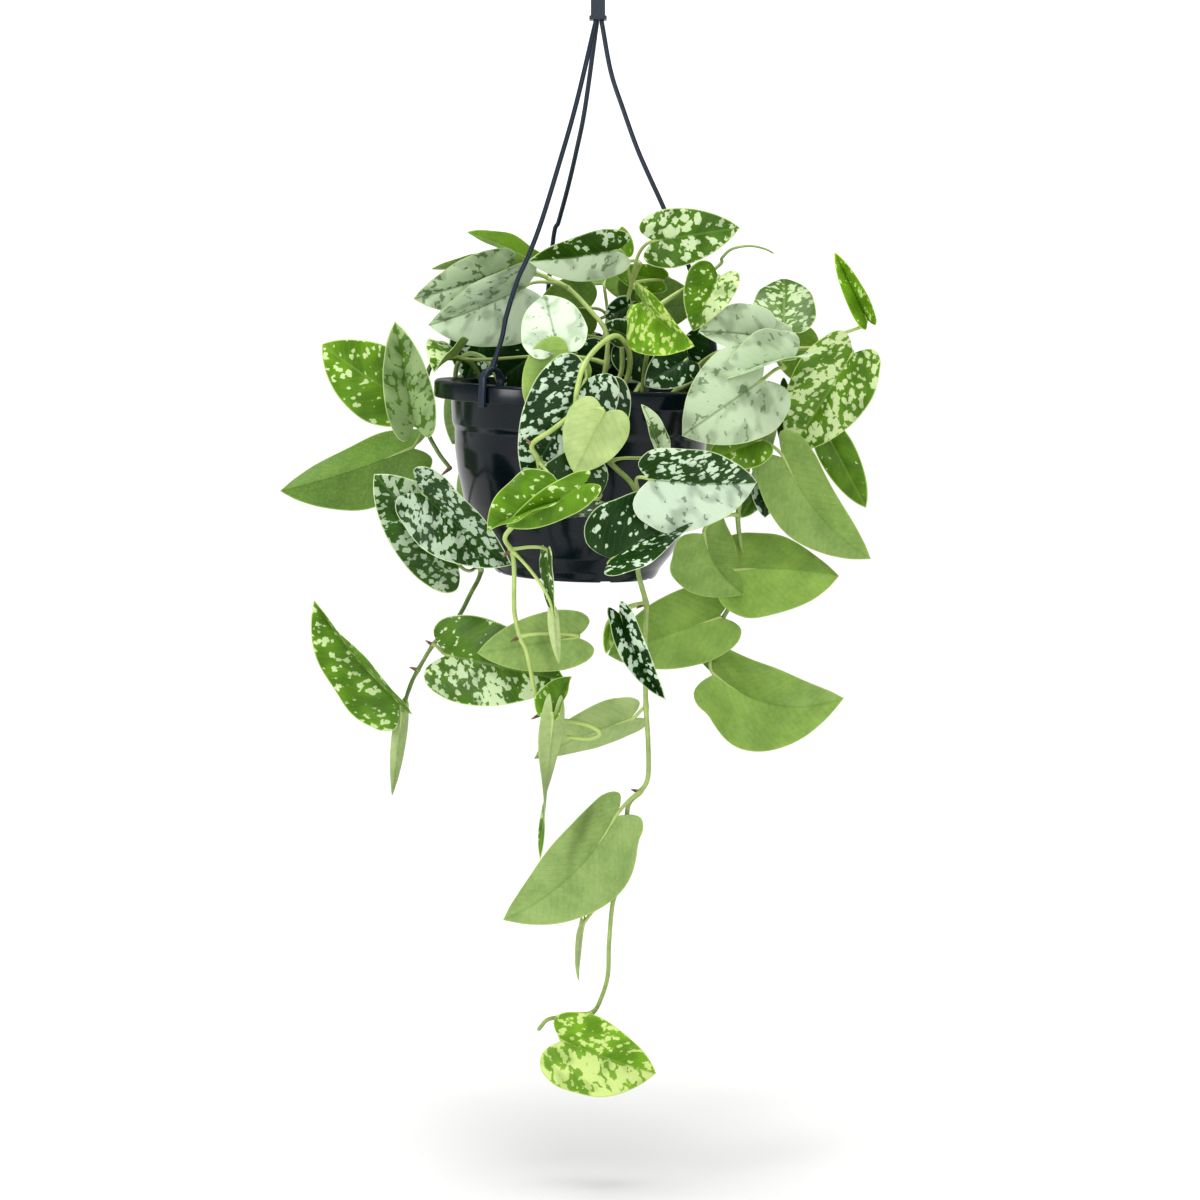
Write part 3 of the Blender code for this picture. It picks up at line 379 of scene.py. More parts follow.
MARKINGS: dict[str, tuple[Marking, ...]] = {
    "stem_front": (
        M(0.80, 0.84, 0.90, 0.6), M(0.3, 0.3, 0.3, 0.35), M(0.42, 0.40, 1.0), M(0.3, 0.3, 0.15, 0.8),
        M(0.10, 0.22, 0.35, 0.3), M(0.10, 0.18, 0.35, 0.3), M(0.30, 0.30, 0.95, 0.4),
        M(0.30, 0.30, 0.80), M(0.4, 0.4, 0.34, 1.0), M(0.3, 0.3, 0.6, 0.45), M(0.3, 0.3, 0.3, 0.7),
        M(0.3, 0.3, 0.5, 0.8),
    ),
    "stem_long": (
        M(0.34, 0.34, 1.0), M(0.36, 0.80, 0.95), M(0.24, 0.24, 0.98), M(0.6, 0.6, 0.7, 0.5),
        M(0.42, 0.42, 1.0, 0.5), M(0.5, 0.5, 0.3, 1.0), M(0.4, 0.4, 0.5, 0.75), M(0.3, 0.3, 0.6, 0.55),
        M(0.4, 0.4, 0.4, 0.9), M(0.32, 0.60, 0.05, 0.3),
    ),
    "stem_left_upper": (
        M(0.18, 0.24, 0.34, 0.3), M(0.66, 0.60, 0.60, 1.0), M(0.3, 0.3, 1.0, 0.12),
    ),
    "stem_left_lower": (
        M(0.40, 0.50, 0.88, 0.85), M(0.42, 0.50, 0.95, 0.8), M(0.12, 0.47, 0.62, 0.7),
        M(0.26, 0.20, 0.45, 0.7), M(0.4, 0.4, 0.5, 0.8),
    ),
    "crown_left": (
        M(0.3, 0.3, 0.0, 0.1), M(0.4, 0.4, 0.1, 0.5), M(0.74, 0.72, 0.8), M(0.84, 0.78, 0.85),
        M(0.5, 0.5, 0.5, 0.4),
    ),
    "crown_middle": (
        M(0.80, 0.30, 0.80), M(0.05, 0.05, 0.2, 0.1), M(0.2, 0.1, 0.2, 0.1), M(0.43, 0.43, 0.60),
        M(0.3, 0.3, 1.0), M(0.25, 0.25, 0.9),
    ),
    "crown_front": (M(0.42, 0.36, 0.0, 0.3), M(0.60, 0.22, 0.45, 0.3), M(0.3, 0.3, 1.0)),
    "right_upper": (
        M(0.84, 0.78, 0.8, 0.72), M(0.82, 0.84, 0.8, 0.72), M(0.80, 0.84, 0.8, 0.72),
        M(0.8, 0.8, 0.8, 0.72),
    ),
    "right_outer": (
        M(0.44, 0.44, 0.60, 0.75), M(0.1, 0.1, 0.3, 0.15), M(0.46, 0.42, 0.40, 0.4),
        M(0.1, 0.25, 0.15, 0.3), M(0.05, 0.05, 0.85, 0.1), M(0.02, 0.02, 0.42, 0.2),
    ),
    "right_low": (
        M(0.3, 0.3, 0.6, 0.38), M(0.1, 0.1, 0.3, 0.2), M(0.4, 0.4, 0.4, 0.85), M(0.34, 0.34, 1.0),
        M(0.1, 0.1, 0.6), M(0.3, 0.3, 0.6, 0.34), M(0.3, 0.3, 0.4, 0.22), M(0.3, 0.3, 0.4, 0.25),
        M(0.3, 0.3, 0.4, 0.26),
    ),
    # The leaves of back_left, back_right and crown_back stand inside the crown and are given high tones so
    # that they stand dark there: painted shade, deepest on their lower faces
    "back_left": (
        M(0.45, 0.5, 0.9), M(0.6, 0.4, 0.8), M(0.3, 0.4, 0.6), M(0.55, 0.5, 0.85), M(0.2, 0.2, 1.0, 0.1),
    ),
    "back_right": (
        M(0.4, 0.4, 0.9), M(0.7, 0.6, 0.8), M(0.5, 0.5, 0.5), M(0.35, 0.45, 0.9), M(0.2, 0.15, 1.0, 0.1),
        M(0.15, 0.2, 1.0, 0.1),
    ),
    "crown_back": (
        M(0.5, 0.5, 0.9, 0.1), M(0.6, 0.6, 0.85, 0.1), M(0.4, 0.4, 0.9, 0.1), M(0.5, 0.4, 0.95, 0.1),
        M(0.15, 0.2, 1.0, 0.1), M(0.1, 0.1, 1.0, 0.1), M(0.1, 0.15, 1.0, 0.1), M(0.2, 0.1, 1.0, 0.1),
    ),
}

# How old the stems and stalks look, from 0 to 1, and the stems that look older
STALK_TONE = 0.25
DARK_STALKED = {"right_low": 0.55, "stem_left_upper": 0.75, "stem_left_lower": 0.7, "stem_long": 0.45}


def linear(red: float, green: float, blue: float) -> Colour:
    """Turn a screen colour of 0 to 255 into linear values: each over 255, to the power 2.2."""
    return tuple((value / 255) ** 2.2 for value in (red, green, blue))


def seen(place: np.ndarray) -> np.ndarray:
    """Return the points, in metres, that places on the sheet stand for.

    The line of sight through a place is followed until it reaches the place's depth.

    Args:
        place: Array of (across, up, depth) in millimetres, in its last axis.

    Returns:
        Array of points of the same shape.
    """
    place = np.asarray(place, float)
    across, up, depth = place[..., 0], place[..., 1], place[..., 2]
    ray = np.stack([
        across,
        SHEET_REACH * math.cos(EYE_PITCH) + up * math.sin(EYE_PITCH),
        up * math.cos(EYE_PITCH) - SHEET_REACH * math.sin(EYE_PITCH),
    ], axis=-1)
    reach = (depth - EYE[1]) / ray[..., 1]
    return (EYE + ray * reach[..., None]) * MM


def smooth_path(points: np.ndarray, steps: int) -> np.ndarray:
    """Return points along a smooth curve that passes through the given ones.

    Between two points the curve is the cubic whose slope at each is half the step between its neighbours.

    Args:
        points: Array of points, one a row.
        steps: How many points each stretch is split into.

    Returns:
        Array of points.
    """
    points = np.asarray(points, float)
    ends = np.vstack([2 * points[0] - points[1], points, 2 * points[-1] - points[-2]])
    before, start, end, after = (ends[n:len(ends) - 3 + n, None] for n in range(4))
    t = (np.arange(steps) / steps)[None, :, None]
    path = 0.5 * (
        2 * start + (end - before) * t
        + (2 * before - 5 * start + 4 * end - after) * t ** 2
        + (3 * start - before - 3 * end + after) * t ** 3
    )
    return np.vstack([path.reshape(-1, points.shape[1]), points[-1:]])


def unit(vectors: np.ndarray) -> np.ndarray:
    """Return the vectors of the last axis at length one."""
    return vectors / np.maximum(np.linalg.norm(vectors, axis=-1, keepdims=True), 1e-12)


def in_pot_frame(points: np.ndarray) -> np.ndarray:
    """Return points given in the pot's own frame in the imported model's frame.

    The pot leans about +Y: x becomes x cos + z sin and z becomes z cos - x sin, and then the pot's centre
    is added.

    Args:
        points: Array of points, in the pot's own frame.

    Returns:
        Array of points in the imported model's frame.
    """
    x, y, z = points[..., 0], points[..., 1], points[..., 2]
    cosine, sine = math.cos(POT_TILT), math.sin(POT_TILT)
    return np.stack([x * cosine + z * sine, y, z * cosine - x * sine], axis=-1) + POT_CENTRE


def lattice(cells: np.ndarray, seed: int) -> np.ndarray:
    """Return a repeatable number from 0 to 1 for each lattice cell.

    The cell's whole coordinates and the seed are multiplied by large odd numbers, added and folded on
    themselves.

    Args:
        cells: Whole coordinates in the last axis.
        seed: Which set of numbers to use.

    Returns:
        Array of numbers.
    """
    *factors, seed_factor = CELL_FACTORS
    mixed = sum(cells[..., axis] * factor for axis, factor in enumerate(factors)) + seed * seed_factor
    mixed = (mixed ^ (mixed >> 13)) * FOLD_FACTOR
    return ((mixed ^ (mixed >> 16)) & 0xFFFFFF) / 0xFFFFFF


def rough(points: np.ndarray, size: float, seed: int) -> np.ndarray:
    """Return smooth noise from -1 to 1 at the points.

    The lattice numbers at the eight corners round a point are blended by eased shares of its cell.

    Args:
        points: Array of points.
        size: The size of a lattice cell, in the points' units.
        seed: Which noise to use.

    Returns:
        Array of numbers.
    """
    scaled = points / size
    cells = np.floor(scaled).astype(np.int64)
    share = scaled - cells
    share = share * share * (3 - 2 * share)
    total = 0.0
    for corner in range(8):
        offset = np.array([corner & 1, corner >> 1 & 1, corner >> 2 & 1])
        weight = np.prod(np.where(offset == 1, share, 1 - share), axis=-1)
        total = total + weight * lattice(cells + offset, seed)
    return total * 2 - 1


@dataclass
class Sheet:
    """A block of points with its faces, finish number and markings, ready to join a piece."""

    points: np.ndarray
    quads: np.ndarray
    triangles: np.ndarray
    finish: int = 0
    blade: np.ndarray | None = None
    marking: np.ndarray | None = None
    seed: float = 0.0

    def layer(self, label: str) -> np.ndarray:
        """Return the blade or marking of each point, or nothing but zeros where there is none."""
        values = getattr(self, label)
        return np.zeros((len(self.points), 3)) if values is None else values


NO_TRIANGLES = np.zeros((0, 3), int)
NO_QUADS = np.zeros((0, 4), int)


def grid_quads(rows: int, columns: int, closed: bool = False) -> np.ndarray:
    """Return the faces of a grid of points numbered row by row.

    Face (r, c) joins points (r, c), (r, c+1), (r+1, c+1) and (r+1, c), with the last column joined to the
    first one where the rows are rings.

    Args:
        rows: Number of rows.
        columns: Number of points in a row.
        closed: Whether each row is a ring.

    Returns:
        Array of faces, four point numbers each.
    """
    r = np.arange(rows - 1)[:, None]
    c = np.arange(columns if closed else columns - 1)[None, :]
    right = (c + 1) % columns
    corners = [r * columns + c, r * columns + right, (r + 1) * columns + right, (r + 1) * columns + c]
    return np.stack(np.broadcast_arrays(*corners), axis=-1).reshape(-1, 4)


def fan(hub: int, first: np.ndarray, second: np.ndarray) -> np.ndarray:
    """Return the triangles that join one point to pairs of points."""
    return np.stack([np.full(len(first), hub), first, second], axis=-1)


def around_ring(count: int) -> tuple[np.ndarray, np.ndarray]:
    """Return the numbers of a ring's points and of the points next to them."""
    around = np.arange(count)
    return around, (around + 1) % count


def closed_stack(rings: np.ndarray, ends: np.ndarray, finish: int = 0, tone: float = 0.0) -> Sheet:
    """Return a stack of rings, closed by a fan round a point at each end.

    Args:
        rings: Array of ring, point in the ring and coordinate.
        ends: The two end points.
        finish: Number of the material slot.
        tone: Colour tone that the stem finish reads.

    Returns:
        The closed block.
    """
    rows, sides, _ = rings.shape
    count = rows * sides
    last = count - sides
    around, ahead = around_ring(sides)
    caps = np.vstack([fan(count, ahead, around), fan(count + 1, last + around, last + ahead)])
    points = np.vstack([rings.reshape(-1, 3), ends])
    marking = np.tile([0.0, tone, 0.0], (len(points), 1))
    return Sheet(points, grid_quads(rows, sides, closed=True), caps, finish, marking=marking)


def steady_side(path: np.ndarray) -> tuple[np.ndarray, np.ndarray, np.ndarray]:
    """Return the tangent and two directions across a path at each of its points.

    Of several fixed directions, the one that the path runs least along is made square to each tangent.

    Args:
        path: Array of points.

    Returns:
        Tangents, first and second directions across.
    """
    tangent = unit(np.gradient(path, axis=0))
    choices = unit(np.array(GUIDES, float))
    worst = np.abs(tangent @ choices.T).max(axis=0)
    guide = choices[worst.argmin()]
    first = unit(guide - tangent * (tangent @ guide)[:, None])
    return tangent, first, np.cross(tangent, first)


def tube(path: np.ndarray, radii: np.ndarray, sides: int, finish: int = 0, tone: float = 0.0) -> Sheet:
    """Return a closed tube with domed ends along a path.

    Ring i has its points at path point i, plus the radius times the cosine and sine of even angles in the
    two directions across. Each end has two smaller rings, pushed outwards, and an end point.

    Args:
        path: Array of points.
        radii: Radius at each point.
        sides: Points in a ring.
        finish: Number of the material slot.
        tone: Colour tone that the stem finish reads.

    Returns:
        The tube.
    """
    tangent, first, second = steady_side(path)
    radii = np.broadcast_to(np.asarray(radii, float), (len(path),))
    start, end = tangent[0] * radii[0], tangent[-1] * radii[-1]
    dome = np.array(DOME_SIZES)
    push = np.sqrt(1 - dome[:, None] ** 2)
    spine = np.vstack([path[0] - start * push, path, path[-1] + end * push[::-1]])
    sizes = np.concatenate([dome * radii[0], radii, dome[::-1] * radii[-1]])
    row = np.clip(np.arange(len(spine)) - len(dome), 0, len(path) - 1)
    angle = np.linspace(0, 2 * math.pi, sides, endpoint=False)
    rings = spine[:, None] + sizes[:, None, None] * (
        np.cos(angle)[None, :, None] * first[row, None] + np.sin(angle)[None, :, None] * second[row, None]
    )
    return closed_stack(rings, np.array([path[0] - start, path[-1] + end]), finish, tone)


def lathe(profile: np.ndarray, steps: int) -> Sheet:
    """Return a closed body of revolution about +Z.

    A profile point (radius, height) turns to (radius cos, radius sin, height) at even angles. A profile
    that starts and ends on the axis is closed there by single points.

    Args:
        profile: Array of radius and height, from the axis, outwards and back to the axis.
        steps: Number of angles.

    Returns:
        The body, in the profile's own frame.
    """
    angle = np.linspace(0, 2 * math.pi, steps, endpoint=False)
    radius, height = profile[1:-1, 0, None], profile[1:-1, 1, None]
    across, deep = radius * np.cos(angle), radius * np.sin(angle)
    rings = np.stack([across, deep, np.broadcast_to(height, across.shape)], axis=-1)
    return closed_stack(rings, np.array([[0, 0, profile[0, 1]], [0, 0, profile[-1, 1]]]))


def fill_mesh(mesh: bpy.types.Mesh, sheets: list[Sheet]) -> None:
    """Put the points and faces of sheets into an empty mesh, each with its material slot.

    Args:
        mesh: The mesh, which has its materials.
        sheets: The blocks to join.
    """
    offsets = np.cumsum([0] + [len(sheet.points) for sheet in sheets[:-1]])
    points = np.vstack([sheet.points for sheet in sheets])
    corners, sizes, slots = [], [], []
    for sheet, offset in zip(sheets, offsets):
        for faces in (sheet.quads, sheet.triangles):
            if len(faces):
                corners.append((faces + offset).ravel())
                sizes.append(np.full(len(faces), faces.shape[1]))
                slots.append(np.full(len(faces), sheet.finish))
    corners, sizes, slots = (np.concatenate(parts).astype(np.int32) for parts in (corners, sizes, slots))
    mesh.vertices.add(len(points))
    mesh.vertices.foreach_set("co", points.astype(np.float32).ravel())
    mesh.loops.add(len(corners))
    mesh.loops.foreach_set("vertex_index", corners)
    mesh.polygons.add(len(sizes))
    starts = np.concatenate([[0], np.cumsum(sizes)[:-1]]).astype(np.int32)
    mesh.polygons.foreach_set("loop_start", starts)
    mesh.polygons.foreach_set("material_index", slots)
    mesh.update(calc_edges=True)


def add_layers(mesh: bpy.types.Mesh, sheets: list[Sheet]) -> None:
    """Write the attributes that the finishes read.

    Args:
        mesh: The mesh that the sheets were put into.
        sheets: The sheets, in the same order.
    """
    for label in ("blade", "marking"):
        rows = np.vstack([sheet.layer(label) for sheet in sheets])
        layer = mesh.attributes.new(label, "FLOAT_VECTOR", "POINT")
        layer.data.foreach_set("vector", rows.astype(np.float32).ravel())
    seeds = np.concatenate([np.full(len(sheet.points), sheet.seed) for sheet in sheets])
    layer = mesh.attributes.new("seed", "FLOAT", "POINT")
    layer.data.foreach_set("value", seeds.astype(np.float32))


def make_piece(name: str, sheets: list[Sheet], finishes: list[Material]) -> Object:
    """Join sheets into one mesh object at the origin, with points in the same place merged.

    Args:
        name: The piece's name.
        sheets: The blocks to join.
        finishes: The materials, in slot order.

    Returns:
        The new object.
    """
    mesh = bpy.data.meshes.new(name)
    for finish in finishes:
        mesh.materials.append(finish)
    fill_mesh(mesh, sheets)
    add_layers(mesh, sheets)
    weld = bmesh.new()
    weld.from_mesh(mesh)
    bmesh.ops.remove_doubles(weld, verts=weld.verts, dist=SAME_PLACE)
    weld.to_mesh(mesh)
    weld.free()
    mesh.shade_smooth()
    mesh.set_sharp_from_angle(angle=CREASE)
    made = bpy.data.objects.new(name, mesh)
    bpy.context.scene.collection.objects.link(made)
    return made


def settle(made: Object) -> None:
    """Apply an object's modifiers to its mesh."""
    graph = bpy.context.evaluated_depsgraph_get()
    fresh = bpy.data.meshes.new_from_object(made.evaluated_get(graph))
    made.modifiers.clear()
    made.data = fresh


def soften_edges(made: Object, width: float, segments: int) -> None:
    """Round an object's sharp edges with an applied bevel.

    Args:
        made: The object.
        width: How wide the rounding is.
        segments: Stretches in the rounding.
    """
    bevel = made.modifiers.new("edges", "BEVEL")
    bevel.width = width
    bevel.segments = segments
    bevel.limit_method = "ANGLE"
    settle(made)


class Wiring:
    """Short calls for adding and joining nodes in one node tree."""

    def __init__(self, tree: Tree) -> None:
        """Keep the tree that nodes are added to."""
        self.tree = tree

    def feed(self, socket: Socket, value: object) -> None:
        """Link a socket to another one, or set it to a plain value.

        Args:
            socket: The input to feed.
            value: Another node's output, a number, or a tuple of numbers.
        """
        if isinstance(value, Socket):
            self.tree.links.new(value, socket)
        elif isinstance(value, tuple) and len(value) == 3 and socket.type == "RGBA":
            socket.default_value = (*value, 1.0)
        else:
            socket.default_value = value

    def node(self, kind: str, inputs: dict | None = None, **settings: object) -> Node:
        """Add a node.

        Args:
            kind: The node's type.
            inputs: What its sockets get, by their names or numbers.
            settings: Its properties by name.

        Returns:
            The new node.
        """
        made = self.tree.nodes.new(kind)
        for label, value in settings.items():
            setattr(made, label, value)
        for label, value in (inputs or {}).items():
            self.feed(made.inputs[label], value)
        return made

    def math(self, operation: str, *values: object) -> Socket:
        """Return the result of a Math node."""
        return self.node("ShaderNodeMath", dict(enumerate(values)), operation=operation).outputs[0]

    def plus(self, first: object, second: object) -> Socket:
        """Return the sum of two values."""
        return self.math("ADD", first, second)

    def less(self, first: object, second: object) -> Socket:
        """Return the first value less the second."""
        return self.math("SUBTRACT", first, second)

    def times(self, first: object, second: object) -> Socket:
        """Return the product of two values."""
        return self.math("MULTIPLY", first, second)

    def mix(self, share: object, first: object, second: object, blend: str = "MIX") -> Socket:
        """Return the first colour with the second laid over it by a share from 0 to 1."""
        inputs, kind = {"Factor": share, 6: first, 7: second}, {"data_type": "RGBA", "blend_type": blend}
        return self.node("ShaderNodeMix", inputs, clamp_factor=True, **kind).outputs[2]

    def tinted(self, colour: object, tint: object) -> Socket:
        """Return a colour multiplied by a tint."""
        return self.mix(1.0, colour, tint, "MULTIPLY")

    def step(self, value: object, low: float, high: float) -> Socket:
        """Return an eased 0 to 1 as a value goes from low to high."""
        made = self.node(
            "ShaderNodeMapRange", {"Value": value, "From Min": low, "From Max": high},
            interpolation_type="SMOOTHSTEP", clamp=True)
        return made.outputs[0]

    def noise(self, place: object, scale: float, detail: float = 2.0, roughness: float = 0.5,
              distortion: float = 0.0) -> Socket:
        """Return a noise value about 0.5 at a place, with finer layers added by detail and roughness."""
        inputs = {"Vector": place, "Scale": scale, "Detail": detail, "Roughness": roughness}
        return self.node("ShaderNodeTexNoise", {**inputs, "Distortion": distortion}).outputs["Fac"]

    def split(self, vector: object) -> tuple[Socket, ...]:
        """Return the three parts of a vector."""
        return tuple(self.node("ShaderNodeSeparateXYZ", {0: vector}).outputs)

    def join(self, *parts: object) -> Socket:
        """Return a vector made of three values."""
        return self.node("ShaderNodeCombineXYZ", dict(enumerate(parts))).outputs[0]

    def attribute(self, label: str, output: str = "Vector") -> Socket:
        """Return a mesh attribute."""
        return self.node("ShaderNodeAttribute", attribute_name=label).outputs[output]

    def place(self) -> Socket:
        """Return the object's own coordinates."""
        return self.node("ShaderNodeTexCoord").outputs["Object"]

    def bump(self, height: object, strength: float, depth: float) -> Socket:
        """Return a normal bent by a height, of which 1 stands for a depth in metres."""
        inputs = {"Strength": strength, "Distance": depth, "Height": height}
        return self.node("ShaderNodeBump", inputs).outputs["Normal"]

    def group(self, shared: Tree, **values: object) -> dict[str, Socket]:
        """Return the outputs of a shared group by name, given its inputs with _ for a space."""
        inputs = {label.replace("_", " "): value for label, value in values.items()}
        return dict(self.node("ShaderNodeGroup", inputs, node_tree=shared).outputs.items())


@dataclass
class GroupMaker:
    """A shader node group while it is made: its wiring, its inputs by name and its output node."""

    name: str
    vectors: tuple[str, ...]
    values: tuple[str, ...]
    results: tuple[str, ...]
    wiring: Wiring = field(init=False)
    given: dict[str, Socket] = field(init=False)
    leave: Node = field(init=False)

    def __post_init__(self) -> None:
        """Make the group's tree with its named sockets."""
        tree = bpy.data.node_groups.new(self.name, "ShaderNodeTree")
        for in_out, kind, labels in (("INPUT", "Vector", self.vectors), ("INPUT", "Float", self.values),
                                     ("OUTPUT", "Float", self.results)):
            for label in labels:
                tree.interface.new_socket(name=label, in_out=in_out, socket_type="NodeSocket" + kind)
        self.wiring = Wiring(tree)
        self.given = {socket.name: socket for socket in self.wiring.node("NodeGroupInput").outputs}
        self.leave = self.wiring.node("NodeGroupOutput")

    def finish(self, **results: Socket) -> Tree:
        """Feed the group's outputs, with _ for a space in a name, and return its tree."""
        for label, value in results.items():
            self.wiring.feed(self.leave.inputs[label.replace("_", " ")], value)
        return self.wiring.tree


def side_vein_group() -> Tree:
    """Make the group that works out a blade's veins from its own coordinates.

    A side vein leaves the midrib forwards and bends towards the tip, so the flow is the length along the
    blade less the vein slope times the distance from the midrib and less a little of its square. Veins
    stand where the flow, wobbled by noise, is a whole number of spacings.

    Returns:
        The group.
    """
    group = GroupMaker("side_veins", ("Blade",), ("Seed",), ("Vein", "Midrib", "Rim", "Off Midrib"))
    w = group.wiring
    x, y, rim = w.split(group.given["Blade"])
    off = w.math("ABSOLUTE", x)
    flow = w.less(w.less(y, w.times(off, VEIN_SLOPE)), w.times(w.times(off, off), VEIN_BEND))
    wobble = w.noise(w.join(x, y, group.given["Seed"]), 0.16)
    wavy = w.plus(flow, w.times(w.less(wobble, 0.5), 3.0))
    phase = w.math("FRACT", w.times(wavy, 1 / VEIN_SPACING))
    near = w.math("ABSOLUTE", w.less(phase, 0.5))
    return group.finish(
        Vein=w.step(near, 0.36, 0.5),
        Midrib=w.less(1.0, w.step(off, 0.15, 1.0)),
        Rim=w.less(1.0, w.step(rim, 0.15, 0.8)),
        Off_Midrib=off,
    )


def satin_fleck_group() -> Tree:
    """Make the group that places the silver flecks of the upper face.

    Three noises, a coarse one for patches, a middle one for flecks and a fine one for specks, are added by
    their weights to round cells and cut off at a level that falls as the share of silver grows and rises
    beside the midrib. They lean a little along the side veins: a fleck's place is the length along the
    blade less 0.3 of the distance from the midrib.

    Returns:
        The group.
    """
    lean, cell_size = 0.3, 0.27
    patch_weight, fleck_weight, speck_weight, cell_weight = 0.26, 0.34, 0.15, 0.28
    bare_level, silver_gain, midrib_gain = 0.655, 0.31, 0.045
    group = GroupMaker("satin_flecks", ("Blade",), ("Off Midrib", "Seed", "Silver"), ("Fleck", "Patch"))
    w, given = group.wiring, group.given
    x, y, _ = w.split(given["Blade"])
    base = w.join(x, w.less(y, w.times(given["Off Midrib"], lean)), given["Seed"])
    patch = w.noise(base, 0.10, 1.0)
    fleck = w.noise(base, 0.27, 1.5, 0.5, 0.4)
    speck = w.noise(base, 0.7, 1.0)
    cells = w.node("ShaderNodeTexVoronoi", {"Vector": base, "Scale": cell_size})
    dot = w.less(1.0, cells.outputs["Distance"])
    mixed = w.plus(w.times(patch, patch_weight), w.times(fleck, fleck_weight))
    mixed = w.plus(w.plus(mixed, w.times(speck, speck_weight)), w.times(dot, cell_weight))
    beside = w.less(1.0, w.step(given["Off Midrib"], 0.6, 4.0))
    away = w.less(bare_level, w.times(given["Silver"], silver_gain))
    level = w.plus(away, w.times(beside, midrib_gain))
    return group.finish(Fleck=w.step(w.less(mixed, level), -0.012, 0.018), Patch=patch)


def grain_group() -> Tree:
    """Make the group for uneven surfaces: broad blotches, fine grain and scattered specks of dust.

    The blotches are a coarse noise, the grain is a fine one, and the dust is where a third, finer one
    is high.

    Returns:
        The group.
    """
    group = GroupMaker("uneven_surface", ("Place",), ("Scale",), ("Blotch", "Grain", "Dust"))
    w, given = group.wiring, group.given
    place = w.node(
        "ShaderNodeVectorMath", {0: given["Place"], "Scale": given["Scale"]}, operation="SCALE").outputs[0]
    return group.finish(
        Blotch=w.noise(place, 1.0, 3.0, 0.6),
        Grain=w.noise(place, 14.0),
        Dust=w.step(w.noise(place, 30.0, 1.0), 0.66, 0.74),
    )


@dataclass
class SharedGroups:
    """The node groups that several finishes use."""

    veins: Tree = field(default_factory=side_vein_group)
    flecks: Tree = field(default_factory=satin_fleck_group)
    grain: Tree = field(default_factory=grain_group)


@dataclass(frozen=True, kw_only=True)
class Finish:
    """What every finish shares. Where the roughness varies, the field is its lowest value."""

    name: str
    roughness: float

    def patterned(self, w: Wiring, shared: SharedGroups) -> dict[str, object]:
        """Wire the finish's pattern and return what it feeds, by the shader's socket names."""
        raise NotImplementedError

    def plain(self) -> dict[str, object]:
        """Return what is the same all over, by the shader's socket names."""
        return {"Roughness": self.roughness}

    def build(self, shared: SharedGroups) -> Material:
        """Make the material.

        Args:
            shared: The node groups.

        Returns:
            The material.
        """
        material = bpy.data.materials.new(self.name)
        material.use_nodes = True
        shader = material.node_tree.nodes["Principled BSDF"]
        w = Wiring(material.node_tree)
        for label, value in {**self.plain(), **self.patterned(w, shared)}.items():
            w.feed(shader.inputs[label], value)
        return material


@dataclass(frozen=True, kw_only=True)
class Living(Finish):
    """What leaves and stems share: light passes a little way into them."""

    gloss: float
    depth_share: float
    depth_colour: Colour
    depth: float = 1.2 * MM

    def plain(self) -> dict[str, object]:
        """Return what is the same all over, by the shader's socket names."""
        return {
            "Roughness": self.roughness, "Specular IOR Level": self.gloss,
            "Subsurface Weight": self.depth_share, "Subsurface Radius": self.depth_colour,
            "Subsurface Scale": self.depth,
        }


